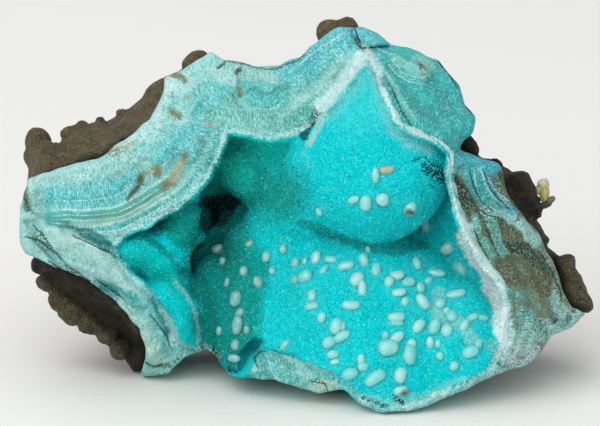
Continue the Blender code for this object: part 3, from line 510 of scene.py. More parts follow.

# What shows inside the hollow, in the same form as the rim's strokes: its own colours, with painted shade
# in its hole, creases, curtain and left side, and painted light on its back wall.
DRUSE_STROKES = [
    ("frost", [(358, 66), (352, 84), (336, 100), (326, 110)], 3, 16, 0.5),
    ("frost", [(372, 74), (380, 100), (392, 128), (412, 142), (430, 150)], 1, 8, 0.4),
    ("druse light", [(364, 70), (362, 90), (358, 108)], 10, 34, 0.5),
    ("black", [(429, 169), (436, 175)], 8, 2, 1.0),
    ("black", [(438, 166), (441, 180)], 5, 3, 0.9),
    ("night teal", [(413, 160), (420, 157)], 2, 2, 0.8),
    ("night teal", [(424, 156), (427, 158)], 1.5, 1.5, 0.8),
    ("night teal", [(430, 186), (434, 188)], 1.5, 1.5, 0.8),
    ("night teal", [(424, 190), (420, 196)], 1, 1.5, 0.7),
    ("tan", [(301, 152), (308, 162), (304, 174)], 3, 8, 0.35),
    # painted shadow in the gap beside the fin
    ("hole shade", [(311, 118), (308, 126), (305, 134)], 4, 4, 0.8),
    ("umber", [(277, 161), (286, 166)], 1.8, 2, 0.8),
    ("umber", [(294, 168), (300, 178)], 1.8, 2, 0.8),
    # painted light on the back wall under the rim, with painted shade lower on it
    ("wall painted light", [(228, 142), (246, 146), (262, 149), (276, 149)], 6, 18, 0.7),
    ("wall", [(238, 172), (260, 186), (280, 196)], 8, 34, 0.8),
    ("wall painted light", [(230, 150), (236, 168), (242, 180)], 6, 14, 0.6),
    # painted shade around the hole
    ("druse shade", [(226, 205), (232, 226), (228, 246)], 12, 12, 0.6),
    ("druse mottle and shade", [(262, 232), (280, 226)], 12, 16, 0.3),
    ("frost", [(324, 110), (320, 126), (314, 137), (308, 143)], 1.2, 4, 0.75),
    ("druse shade", [(192, 276), (204, 300), (208, 330), (210, 352)], 7, 8, 0.75),
    ("druse shade", [(300, 223), (338, 236), (367, 248), (396, 251), (424, 245)], 2, 5, 0.5),
    ("frost", [(440, 292), (436, 306), (444, 316), (462, 322), (470, 340)], 5, 5, 0.45),
    ("white", [(463, 237), (475, 260), (488, 278), (497, 295), (500, 315), (503, 338)], 4, 7, 1.0),
    ("frost", [(446, 172), (452, 196), (462, 226), (474, 254)], 1, 3, 0.6),
    # painted shade on the curtain under the left rim, and in the creases beside the bulge
    ("wall", [(172, 216), (186, 214), (184, 236)], 12, 8, 0.85),
    ("druse shade", [(130, 237), (150, 240), (163, 249), (174, 262), (181, 270)], 1.2, 4, 0.7),
    ("druse shade", [(124, 260), (144, 269), (167, 279), (184, 285)], 2, 5, 0.35),
    # painted shadow running down from the hole, and the hole itself painted near black as shade
    ("night teal", [(206, 228), (197, 246), (186, 263)], 3.5, 6, 0.9),
    ("hole shade", [(208, 202), (222, 200), (234, 202)], 4, 6, 0.9),
    ("hole shade", [(213, 208), (208, 224)], 5, 9, 0.95),
    ("hole shade", [(226, 206), (220, 218)], 4, 10, 0.8),
    # painted shade on the bulge and the pillar
    ("druse mottle and shade", [(128, 246), (150, 252), (168, 266)], 8, 10, 0.5),
    ("druse mottle and shade", [(130, 262), (156, 272), (176, 280)], 3, 10, 0.4),
    ("druse mottle and shade", [(176, 290), (186, 320), (190, 350)], 10, 5, 0.4),
    ("frost", [(176, 282), (187, 295), (195, 311), (199, 330), (198, 348)], 0.8, 2, 0.5),
    # painted shade on the left flank of the lower lobe and under the left rim
    ("druse shade", [(222, 262), (222, 300), (226, 350)], 15, 14, 0.75),
    ("druse mottle and shade", [(250, 262), (244, 300), (242, 340)], 14, 12, 0.85),
    ("druse shade", [(238, 262), (240, 300), (240, 345)], 9, 14, 0.45),
    ("druse shade", [(224, 146), (216, 170), (208, 190)], 4, 8, 0.4),
    ("tan", [(488, 344), (496, 352)], 5, 5, 0.5),
    ("frost", [(344, 386), (360, 398), (390, 402), (430, 394), (462, 380)], 2, 5, 0.35),
    ("umber", [(396, 398), (402, 402)], 3, 2.5, 0.8),
]

# Where the druse ends smoothly, with no white broken edge, and how far to its sides.
QUIET_EDGES = [
    ([(196, 354), (212, 353), (222, 368), (232, 377), (262, 386)], 7, 4),
    ([(236, 372), (250, 352), (262, 344), (284, 352)], 9, 4),
]

# Where the druse's broken edge shows as a wide white line.
BRIGHT_EDGE = [
    (318, 112), (342, 86), (363, 52), (382, 84), (396, 124), (434, 145), (450, 160), (458, 218),
    (484, 270), (503, 306), (498, 335), (505, 350),
]

# Hair lines of the rim, in pixels of the picture: dark cracks and pale edges of layers.
DARK_LINES = [
    [(27, 237), (38, 240), (45, 245), (53, 251)],
    [(41, 232), (46, 239), (56, 253), (66, 265), (79, 273)],
    [(354, 27), (358, 37), (362, 48), (376, 47), (388, 46)], [(475, 231), (481, 246), (488, 258)],
    [(484, 222), (490, 239), (499, 255)], [(479, 209), (487, 215), (499, 218), (504, 221)],
    [(454, 182), (458, 198), (466, 214)], [(312, 381), (317, 382.5), (322, 383)],
    [(325, 383), (327, 389)], [(151, 316), (158, 324), (166, 335), (170, 346)],
    [(147, 363), (154, 366), (161, 364)], [(98, 281), (110, 289), (124, 299)],
    [(258, 367), (254, 359), (259, 352), (268, 351)],
    [(390, 84), (396, 98), (402, 112), (410, 124)], [(438, 62), (448, 72), (456, 86)],
    [(540, 252), (550, 268), (558, 286), (562, 300)], [(74, 236), (101, 249), (122, 257)],
    [(470, 172), (474, 188), (482, 202), (492, 210)],
    [(484, 172), (490, 188), (500, 200), (508, 208)], [(50, 262), (62, 270), (78, 274), (90, 281)],
    [(34, 226), (42, 236), (48, 244)],
]
PALE_LINES = [
    [(268, 358), (270, 368), (276, 377), (285, 385), (296, 390)],
    [(342, 391), (350, 397), (355, 403), (362, 408), (374, 411), (390, 411), (405, 408)],
    [(474, 172), (476, 186), (480, 198), (486, 206), (494, 209)],
    [(481, 170), (486, 186), (494, 198), (504, 205)], [(488, 178), (496, 191), (507, 200)],
    [(388, 64), (398, 76), (410, 82), (424, 84)], [(392, 60), (402, 72), (418, 78), (428, 76)],
    [(68, 203), (72, 210), (79, 214)], [(547, 253), (556, 266), (563, 282), (568, 296), (570, 308)],
    [(78, 179), (90, 179), (97, 173), (99, 164)], [(74, 175), (87, 174), (93, 168), (94, 162)],
    [(120, 309), (130, 318), (138, 330), (144, 342), (149, 354)],
    [(256, 108), (266, 110), (277, 107), (284, 100)],
    [(48, 229), (63, 230), (74, 238), (100, 250), (121, 259)], [(300, 64), (320, 47), (342, 34)],
    [(372, 44), (384, 52), (398, 55)],
]

# How the two kinds of hair line look: name, colour, half width in pixels and strength.
HAIR_LINES = [("pale", "chalk", 0.9, 0.6), ("dark", "night teal", 1.3, 0.9)]

# How far the broken rim's layers stand forward, from its inner to its outer edge.
LEDGES = [
    (0.0, 0.0), (0.05, 0.25), (0.09, 0.25), (0.12, -0.35), (0.18, -0.2), (0.22, 0.15), (0.28, 0.35),
    (0.31, 0.8), (0.36, 0.75), (0.39, 0.15), (0.5, 0.35), (0.57, 0.9), (0.6, 0.3), (0.7, 0.45),
    (0.74, 0.75), (0.78, 0.0), (0.88, 0.1), (0.92, 0.35), (1.0, 0.1),
]

# Colours that lie on the rim as ragged flecks, not as soft tints.
CRISP = ("rust", "orange rust", "tan", "umber", "black", "olive", "moss", "bronze", "night teal")

# Thin pale lines in the left of the rim: where in its bands, and how wide.
THIN_LINES = [(0.11, 0.014), (0.185, 0.02), (0.24, 0.01), (0.3, 0.01), (0.375, 0.022), (0.5, 0.012)]

# Fibres across the bands: in how many directions, and their length, depth and width.
FIBRE_DIRECTIONS = 6
FIBRE_SIZE = (0.75, 0.45, 0.16)

# Colours across the rim, from the hollow at 0 to the outer edge at 1.
LEFT_BANDS = [
    (0.0, "frost"), (0.08, "frost"), (0.12, "teal"), (0.17, "turquoise"), (0.2, "pale mint"),
    (0.23, "mint"), (0.26, "sea green"), (0.35, "sea green"), (0.38, "frost"), (0.42, "pale turquoise"),
    (0.55, "turquoise"), (0.64, "pale turquoise"), (0.74, "frost"), (0.84, "pale turquoise"),
    (0.92, "ice"), (1.0, "chalk"),
]
TOP_BANDS = [
    (0.0, "frost"), (0.1, "sea green"), (0.22, "turquoise"), (0.32, "frost"), (0.42, "mint"),
    (0.55, "turquoise"), (0.7, "pale turquoise"), (0.85, "turquoise"), (1.0, "frost"),
]
SLAB_BANDS = [
    (0.0, "turquoise"), (0.12, "deep turquoise"), (0.35, "teal"), (0.5, "deep turquoise"), (0.7, "teal"),
    (0.85, "deep turquoise"), (1.0, "deep turquoise"),
]
RIGHT_BANDS = [
    (0.0, "chalk"), (0.15, "frost"), (0.25, "moss"), (0.45, "sea green"), (0.6, "moss"),
    (0.8, "olive"), (1.0, "rust"),
]
LOWER_BANDS = [
    (0.0, "frost"), (0.2, "turquoise"), (0.45, "mint"), (0.7, "frost"), (1.0, "mint"),
]

# Which band colours hold in which part of the rim: outlines in pixels of the picture.
REGIONS = [
    (TOP_BANDS, [(228, 20), (380, 10), (366, 52), (325, 120), (228, 140)], 8),
    (SLAB_BANDS, [(366, 52), (352, 20), (400, 10), (500, 60), (500, 155), (446, 160), (380, 120)], 4),
    (RIGHT_BANDS, [(440, 158), (520, 150), (620, 260), (620, 330), (500, 370), (480, 300)], 6),
    (LOWER_BANDS, [(10, 225), (122, 237), (180, 300), (215, 345), (500, 372), (560, 350), (560, 430),
                   (100, 430), (10, 300)], 6),
]

# Strokes in the picture where the crust is calm, on its plates and in its bottom curl, and
# where the lower left of the rock lies under the crust's lip, smooth and painted dark as shade.
PLATES = [(30, 235), (90, 262), (140, 300)]
BOTTOM_CURL = [(243, 374), (247, 352), (258, 343)]
ROCK_IN_SHADE = [(34, 258), (60, 276), (86, 299), (112, 322), (136, 350), (144, 368)]

# The studio: each light's name, place in metres, size, power and colour, all turned to the
# specimen's middle; the grey of the world around; and the floor's reach and two colours.
LIGHTS = [
    ("key", (-0.42, -0.9, 0.78), 1.2, 10.6, (1.0, 0.985, 0.96)),
    ("top", (-0.25, 0.4, 1.0), 0.9, 2.5, (1.0, 0.99, 0.97)),
    ("fill", (0.15, -1.25, 0.55), 1.8, 5.2, (0.97, 0.99, 1.0)),
]
LIGHT_AIM = (0.0, 0.0, 0.025)
WORLD_COLOUR = (0.95, 0.97, 1.0, 1.0)
WORLD_STRENGTH = 0.59
FLOOR_REACH = 6.0
FLOOR_COLOURS = ((0.83, 0.82, 0.79), (0.86, 0.85, 0.82))


def linear(colour):
    """A named sRGB colour in linear light."""
    value = np.array(COLOURS[colour], dtype=float) / 255.0
    return np.where(value <= 0.04045, value / 12.92, ((value + 0.055) / 1.055) ** 2.4)


def tint_towards(colours, name, mask):
    """Shift an array of colours towards a named one, by a mask from 0 to 1."""
    colours += (linear(name) - colours) * mask[:, None]


def b_spline(share):
    """Weights of the four samples around a place on a line."""
    return [
        (1 - share) ** 3 / 6,
        (3 * share ** 3 - 6 * share ** 2 + 4) / 6,
        (-3 * share ** 3 + 3 * share ** 2 + 3 * share + 1) / 6,
        share ** 3 / 6,
    ]


def smooth_step(value, low, high):
    """0 below low, 1 above high, and an S-shaped rise between them."""
    share = np.clip((value - low) / (high - low), 0.0, 1.0)
    return share * share * (3.0 - 2.0 * share)


class Grid:
    """Sample points of a block of the face frame."""

    def __init__(self, step):
        self.step = step
        self.low = np.array(FIELD_LOW)
        counts = np.ceil((np.array(FIELD_HIGH) - self.low) / step).astype(int) + 1
        self.axes = [(self.low[a] + step * np.arange(counts[a])).astype(np.float32) for a in range(3)]
        self.x = self.axes[0][:, None, None]
        self.y = self.axes[1][None, :, None]
        self.z = self.axes[2][None, None, :]
        self.angle = np.arctan2(self.z - FACE_CENTRE[1], self.x - FACE_CENTRE[0])
        self.radius = np.hypot(self.z - FACE_CENTRE[1], self.x - FACE_CENTRE[0])

    def waves(self, cell, seed, flat=False):
        """Smooth noise of about -1 to 1, with features of the given size, over the block
        or over the face alone."""
        axes = [self.axes[0], self.axes[1][:1] if flat else self.axes[1], self.axes[2]]
        counts = [int(math.ceil((axis[-1] - axis[0]) / cell)) + 4 for axis in axes]
        result = np.random.default_rng(seed).uniform(-1.0, 1.0, counts)
        for a, axis in enumerate(axes):
            place = (axis - axis[0]) / cell + 1.0
            base = np.floor(place).astype(int)
            weights = np.zeros((len(axis), counts[a]))
            rows = np.arange(len(axis))
            for step, weight in enumerate(b_spline(place - base)):
                weights[rows, base - 1 + step] = weight
            result = np.moveaxis(np.tensordot(weights, result, axes=(1, a)), 0, a)
        return (result * 2.2).astype(np.float32)

    def sample(self, field, points):
        """A field's values at points between the samples."""
        place = (points - self.low) / self.step
        top = np.array(field.shape) - 1
        base = np.clip(np.floor(place).astype(int), 0, np.maximum(top - 1, 0))
        share = np.clip(place - base, 0.0, 1.0)
        total = np.zeros(len(points))
        for corner in range(8):
            weight = np.ones(len(points))
            index = []
            for a in range(3):
                step = (corner >> a) & 1
                weight = weight * (share[:, a] if step else 1.0 - share[:, a])
                index.append(np.minimum(base[:, a] + step, top[a]))
            total += weight * field[tuple(index)]
        return total


def scattered(cells, seed):
    """A repeatable random value from 0 to 1 for each whole-numbered cell."""
    table = np.random.default_rng(seed).random(8192)
    mixed = (cells[..., 0] * 73856093) ^ (cells[..., 1] * 19349663) ^ (cells[..., 2] * 83492791)
    return table[mixed % 8192]


def waves_at(points, cell, seed):
    """Smooth noise of about -1 to 1 at points, with features of the given size."""
    place = points / cell + 500.0
    base = np.floor(place).astype(np.int64)
    weights = [b_spline(place[:, a] - base[:, a]) for a in range(3)]
    total = np.zeros(len(points))
    for i in range(4):
        for j in range(4):
            for k in range(4):
                value = scattered(base + np.array([i - 1, j - 1, k - 1]), seed) * 2.0 - 1.0
                total += weights[0][i] * weights[1][j] * weights[2][k] * value
    return total * 2.2


def bumps_at(points, cell, seed):
    """Rounded bumps from 0 to 1, about one to each cell."""
    place = points / cell + 500.0
    base = np.floor(place).astype(np.int64)
    nearest = np.full(len(points), 9.0)
    for i in (-1, 0, 1):
        for j in (-1, 0, 1):
            for k in (-1, 0, 1):
                home = base + np.array([i, j, k])
                spot = home + np.stack([scattered(home, seed + a) for a in range(3)], axis=1)
                nearest = np.minimum(nearest, ((place - spot) ** 2).sum(axis=1))
    return np.sqrt(np.clip(1.0 - nearest, 0.0, 1.0))


def roughened(field, grid, layers, flat=False):
    """A field with layers of noise added to it."""
    for strength, size, seed in layers:
        field = field + strength * grid.waves(size, seed, flat)
    return field


def soft_max(a, b, width):
    """The larger of two fields, with the crease between them filled or rounded."""
    blend = np.maximum(width - np.abs(a - b), 0.0) / width
    return np.maximum(a, b) + blend * blend * width * 0.25


def soft_min(a, b, width):
    """The smaller of two fields, blended."""
    return -soft_max(-a, -b, width)


def round_max(a, b, radius):
    """Intersection of two solids with an edge of the given radius."""
    outside = np.hypot(np.maximum(a + radius, 0.0), np.maximum(b + radius, 0.0))
    return np.minimum(np.maximum(a, b), -radius) + outside


def ellipsoid(grid, centre, half):
    """Roughly the distance to an ellipsoid, negative inside."""
    px = (grid.x - centre[0]) / half[0]
    py = (grid.y - centre[1]) / half[1]
    pz = (grid.z - centre[2]) / half[2]
    near = np.sqrt(px ** 2 + py ** 2 + pz ** 2)
    slope = np.sqrt((px / half[0]) ** 2 + (py / half[1]) ** 2 + (pz / half[2]) ** 2)
    return near * (near - 1.0) / np.maximum(slope, 1e-3)


def line_distance(x, z, start, end):
    """Distance to a straight line between two points."""
    run = np.array(end, dtype=float) - np.array(start, dtype=float)
    share = ((x - start[0]) * run[0] + (z - start[1]) * run[1]) / max(float(run @ run), 1e-9)
    share = np.clip(share, 0.0, 1.0)
    return np.hypot(x - start[0] - share * run[0], z - start[1] - share * run[1])


def outline_distance(edge, x, z):
    """Distance across the face to a closed outline, negative inside it."""
    points = [(p[0], p[1]) for p in edge]
    nearest = np.full(np.broadcast(x, z).shape, 1e3)
    inside = np.zeros(nearest.shape, dtype=bool)
    for start, end in zip(points, points[1:] + points[:1]):
        nearest = np.minimum(nearest, line_distance(x, z, start, end))
        crosses = (start[1] > z) != (end[1] > z)
        slope = (end[0] - start[0]) / ((end[1] - start[1]) or 1e-9)
        inside ^= crosses & (x < start[0] + slope * (z - start[1]))
    return np.where(inside, -nearest, nearest).astype(np.float32)


def stroke_distance(u, v, points):
    """Distance in the picture to a stroke's line."""
    nearest = np.full(np.shape(u), 1e3)
    for start, end in zip(points[:-1], points[1:]):
        nearest = np.minimum(nearest, line_distance(u, v, start, end))
    return nearest


def stroke_mask(u, v, points, half_width, softness):
    """1 on a stroke through the points, fading to 0 beside it."""
    return 1.0 - smooth_step(stroke_distance(u, v, points), half_width, half_width + softness)


def picture_place(points):
    """Where points of the face frame appear in the picture, in its pixels."""
    scale = CAMERA_DISTANCE / (CAMERA_DISTANCE + points[:, 1] - AIM[1]) / PIXEL
    u = PICTURE_MIDDLE[0] + (points[:, 0] - AIM[0]) * scale
    v = PICTURE_MIDDLE[1] - (points[:, 2] - AIM[2]) * scale
    return u, v


def edge_values(edge, angle):
    """Radius and depth of an outline at the given angles about the face's centre."""
    points = np.array(edge, dtype=float)
    across = points[:, 0] - FACE_CENTRE[0]
    up = points[:, 1] - FACE_CENTRE[1]
    own = np.arctan2(up, across)
    turn = 2.0 * math.pi
    radius = np.interp(angle.ravel(), own, np.hypot(across, up), period=turn).reshape(angle.shape)
    depth = np.interp(angle.ravel(), own, points[:, 2], period=turn).reshape(angle.shape)
    return radius.astype(np.float32), depth.astype(np.float32)


def smoothed(field, passes):
    """A field over the face, averaged with its neighbours several times."""
    for _ in range(passes):
        for axis in (0, 2):
            field = 0.5 * field + 0.25 * (np.roll(field, 1, axis) + np.roll(field, -1, axis))
    return field


def guide_edge():
    """The hollow's edge with its upper side carried on to the far left."""
    points = [(p[0], p[1]) for p in HOLLOW_EDGE]
    after = points.index(SPIKE_START) + 1
    return points[:after] + GUIDE_SPIKE + points[after:]


def rim_tables(grid):
    """Distances, depths and directions of the crust's rim over the face."""
    outer = roughened(outline_distance(CRUST_EDGE, grid.x, grid.z), grid, OUTER_NOISE, flat=True)
    inner = roughened(outline_distance(HOLLOW_EDGE, grid.x, grid.z), grid, INNER_NOISE, flat=True)
    guide = np.abs(outline_distance(guide_edge(), grid.x, grid.z))
    outer_radius, outer_depth = edge_values(CRUST_EDGE, grid.angle)
    inner_depth = edge_values(HOLLOW_EDGE, grid.angle)[1]
    share = np.clip(inner / np.maximum(inner - outer, 0.3), 0.0, 1.0)
    band = np.clip(guide / np.maximum(guide - outer, 0.3), 0.0, 1.0)
    even = smoothed(guide, 30)
    u = PICTURE_MIDDLE[0] + (grid.x - AIM[0]) / PIXEL + 3.0 * grid.waves(1.6, 13, flat=True)
    v = PICTURE_MIDDLE[1] - (grid.z - AIM[2]) / PIXEL + 3.0 * grid.waves(1.6, 14, flat=True)
    relief = np.zeros(share.shape, dtype=np.float32)
    for points, half_width, softness, height in RIM_RELIEF:
        relief += height * stroke_mask(u, v, points, half_width, softness)
    return {
        "outer": outer, "inner": inner, "share": share, "outer_depth": outer_depth,
        "inner_depth": inner_depth, "reach": np.clip(grid.radius / outer_radius, 0.0, 1.0),
        "relief": relief, "band": band, "slope_x": np.gradient(even, axis=0),
        "slope_z": np.gradient(even, axis=2),
    }


def crust_field(grid, rim):
    """The whole turquoise crust before its hollow."""
    shoulder = rim["outer_depth"] - CRUST_SHOULDER
    warped = np.clip(rim["band"] + 0.05 * grid.waves(5.0, 15, flat=True), 0.0, 1.0)
    ledges = np.interp(warped.ravel(), *zip(*LEDGES)).reshape(warped.shape)
    flat = rim["inner_depth"] + (shoulder - rim["inner_depth"]) * rim["share"]
    flat = flat - ledges - rim["relief"] + 8.0 * np.minimum(rim["inner"], 0.0)
    crumbs = np.maximum(grid.waves(1.7, 5) - 0.15, 0.0)
    right = RIGHT_ROUGHNESS * smooth_step(grid.x, 25.0, 29.0)
    front = roughened(flat - grid.y, grid, FRONT_NOISE)
    front = front + CRUMB_HEIGHT * crumbs + right * grid.waves(1.5, 6)
    bow = np.sqrt(np.maximum(1.0 - rim["reach"] ** 4, 0.0))
    back = (grid.y - rim["outer_depth"] - CRUST_BACK * bow) * 0.6
    body = round_max(front, rim["outer"], RIM_ROUNDING)
    return round_max(body, back, CRUST_BACK_ROUNDING).astype(np.float32)


def hollow_field(grid, rim):
    """The empty space of the hollow, negative inside it."""
    back_wall = grid.y - (HOLLOW_BACK - HOLLOW_BACK_SLOPE * (grid.x - HOLLOW_BACK_X))
    space = round_max(rim["inner"], back_wall, HOLLOW_BACK_ROUNDING)
    for centre, half in POCKETS.values():
        space = soft_min(space, ellipsoid(grid, centre, half), POCKET_BLEND)
    swell = 0.4 * grid.waves(5.0, 21) + 0.2 * grid.waves(2.2, 22)
    for centre, half, blend in LOBES:
        space = soft_max(space, -ellipsoid(grid, centre, half) + swell, blend)
    return (space + 0.12 * grid.waves(1.0, 23)).astype(np.float32)


def matrix_field(grid, crust):
    """The dark rock: its outline, swellings and knobs, behind the crust."""
    outline = outline_distance(MATRIX_EDGE, grid.x, grid.z) + 0.4 * grid.waves(2.2, 31, flat=True)
    outer_radius, depth = edge_values(MATRIX_EDGE, grid.angle)
    crust_depth = edge_values(CRUST_EDGE, grid.angle)[1] + MATRIX_SETBACK
    forward = np.interp(np.clip(-outline, 0.0, 6.0).ravel(), [0.0, 1.5, 4.5], [0.0, 0.55, 1.0])
    front = depth - forward.reshape(outline.shape) * np.maximum(depth - crust_depth, 0.0) - grid.y
    share = np.clip(grid.radius / outer_radius, 0.0, 1.0)
    bow = np.sqrt(np.maximum(1.0 - share ** 3, 0.0))
    back = (grid.y - depth - (MATRIX_BACK + (24.0 - depth) * (1.0 - share)) * bow) * 0.7
    rock = round_max(round_max(front, outline, MATRIX_ROUNDING), back, MATRIX_ROUNDING)
    for centre, half in SWELLINGS:
        rock = soft_min(rock, ellipsoid(grid, centre, half), SWELLING_BLEND)
    rock = roughened(rock + 0.15, grid, ROCK_NOISE)
    block = outline_distance(BLOCK_EDGE, grid.x, grid.z)
    block = round_max(block, BLOCK_DEPTH[0] - grid.y, BLOCK_ROUNDING)
    block = round_max(block, grid.y - BLOCK_DEPTH[1], BLOCK_ROUNDING)
    rock = soft_min(rock, block + 0.2 * grid.waves(1.4, 34), BLOCK_BLEND)
    for x, y, z, radius in KNOBS:
        rock = soft_min(rock, ellipsoid(grid, (x, y, z), (radius,) * 3), KNOB_BLEND)
    return soft_max(rock, -(crust + MATRIX_GAP), 0.2).astype(np.float32)


def ground_field(grid):
    """The ground that the specimen stands on, negative above it and the same at every x."""
    return -STANCE_SHIFT[2] - grid.z * math.cos(LEAN) + grid.y * math.sin(LEAN)


def surface_net(grid, field):
    """Vertices and four-cornered faces of the surface where a field is zero."""
    inside = field < 0.0
    cells = tuple(n - 1 for n in field.shape)
    flat_count = int(np.prod(cells))
    total = np.zeros((flat_count, 3))
    count = np.zeros(flat_count)
    strides = np.array([cells[1] * cells[2], cells[2], 1])
    edges = []
    for axis in range(3):
        lower = [slice(None)] * 3
        upper = [slice(None)] * 3
        lower[axis] = slice(0, -1)
        upper[axis] = slice(1, None)
        crossing = np.argwhere(inside[tuple(lower)] != inside[tuple(upper)])
        near = field[tuple(lower)][tuple(crossing.T)]
        far = field[tuple(upper)][tuple(crossing.T)]
        point = crossing.astype(float)
        point[:, axis] += near / (near - far)
        sides = [a for a in range(3) if a != axis]
        ring = []
        for first, second in ((0, 0), (1, 0), (1, 1), (0, 1)):
            cell = crossing.copy()
            cell[:, sides[0]] -= first
            cell[:, sides[1]] -= second
            valid = np.all((cell >= 0) & (cell < np.array(cells)), axis=1)
            place = cell @ strides
            ring.append(np.where(valid, place, -1))
            for a in range(3):
                total[:, a] += np.bincount(place[valid], weights=point[valid, a], minlength=flat_count)
            count += np.bincount(place[valid], minlength=flat_count)
        quads = np.stack(ring, axis=1)
        outward = near < 0.0 if axis != 1 else near >= 0.0
        quads[outward] = quads[outward][:, ::-1]
        edges.append(quads[np.all(quads >= 0, axis=1)])
    active = count > 0
    number = np.full(flat_count, -1, dtype=np.int64)
    number[active] = np.arange(int(active.sum()))
    verts = grid.low + grid.step * (total[active] / count[active][:, None])
    return verts, number[np.concatenate(edges)][:, ::-1]


def keep_largest(verts, faces):
    """Drop loose crumbs, leaving the largest connected body."""
    label = np.arange(len(verts))
    while True:
        lowest = label[faces].min(axis=1)
        new = label.copy()
        for corner in range(faces.shape[1]):
            np.minimum.at(new, faces[:, corner], lowest)
        new = new[new]
        if np.array_equal(new, label):
            break
        label = new
    main = np.bincount(label).argmax()
    kept = label == main
    renumber = np.cumsum(kept) - 1
    return verts[kept], renumber[faces[kept[faces].all(axis=1)]]


def vertex_normals(verts, faces):
    """Unit normals at the vertices of a mesh of four-cornered faces."""
    cross = np.cross(verts[faces[:, 2]] - verts[faces[:, 0]], verts[faces[:, 3]] - verts[faces[:, 1]])
    normals = np.zeros_like(verts)
    for corner in range(4):
        for a in range(3):
            normals[:, a] += np.bincount(faces[:, corner], weights=cross[:, a], minlength=len(verts))
    return normals / np.maximum(np.linalg.norm(normals, axis=1, keepdims=True), 1e-9)


def stand_up(points):
    """Face frame millimetres to the standing specimen's metres."""
    x, y, z = points[:, 0], points[:, 1], points[:, 2]
    up = -y * math.sin(LEAN) + z * math.cos(LEAN)
    back = y * math.cos(LEAN) + z * math.sin(LEAN)
    placed = np.stack([x, back, up], axis=1) * MM + np.array(STANCE_SHIFT) * MM
    placed[:, 2] = np.maximum(placed[:, 2], 0.0)
    return placed


def make_piece(name, points, faces, material, nodes, values, smooth=True):
    """A piece of the specimen in place of some of its solids, with values to paint it by."""
    mesh = bpy.data.meshes.new(name)
    corners = faces.shape[1]
    mesh.vertices.add(len(points))
    mesh.vertices.foreach_set("co", stand_up(points).astype(np.float32).ravel())
    mesh.loops.add(faces.size)
    mesh.loops.foreach_set("vertex_index", faces.astype(np.int32).ravel())
    mesh.polygons.add(len(faces))
    mesh.polygons.foreach_set("loop_start", np.arange(0, faces.size, corners, dtype=np.int32))
    mesh.polygons.foreach_set("use_smooth", np.full(len(faces), smooth))
    mesh.update(calc_edges=True)
    mesh.validate()
    for key, value in values.items():
        if value.ndim == 2:
            layer = mesh.attributes.new(key, "FLOAT_COLOR", "POINT")
            full = np.ones((len(value), 4), dtype=np.float32)
            full[:, :3] = value
            layer.data.foreach_set("color", full.ravel())
        else:
            layer = mesh.attributes.new(key, "FLOAT", "POINT")
            layer.data.foreach_set("value", value.astype(np.float32))
    mesh.materials.append(material)
    piece = bpy.data.objects.new(name, mesh)
    bpy.context.collection.objects.link(piece)
    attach(piece, "root")
    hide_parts(*nodes)
    return piece


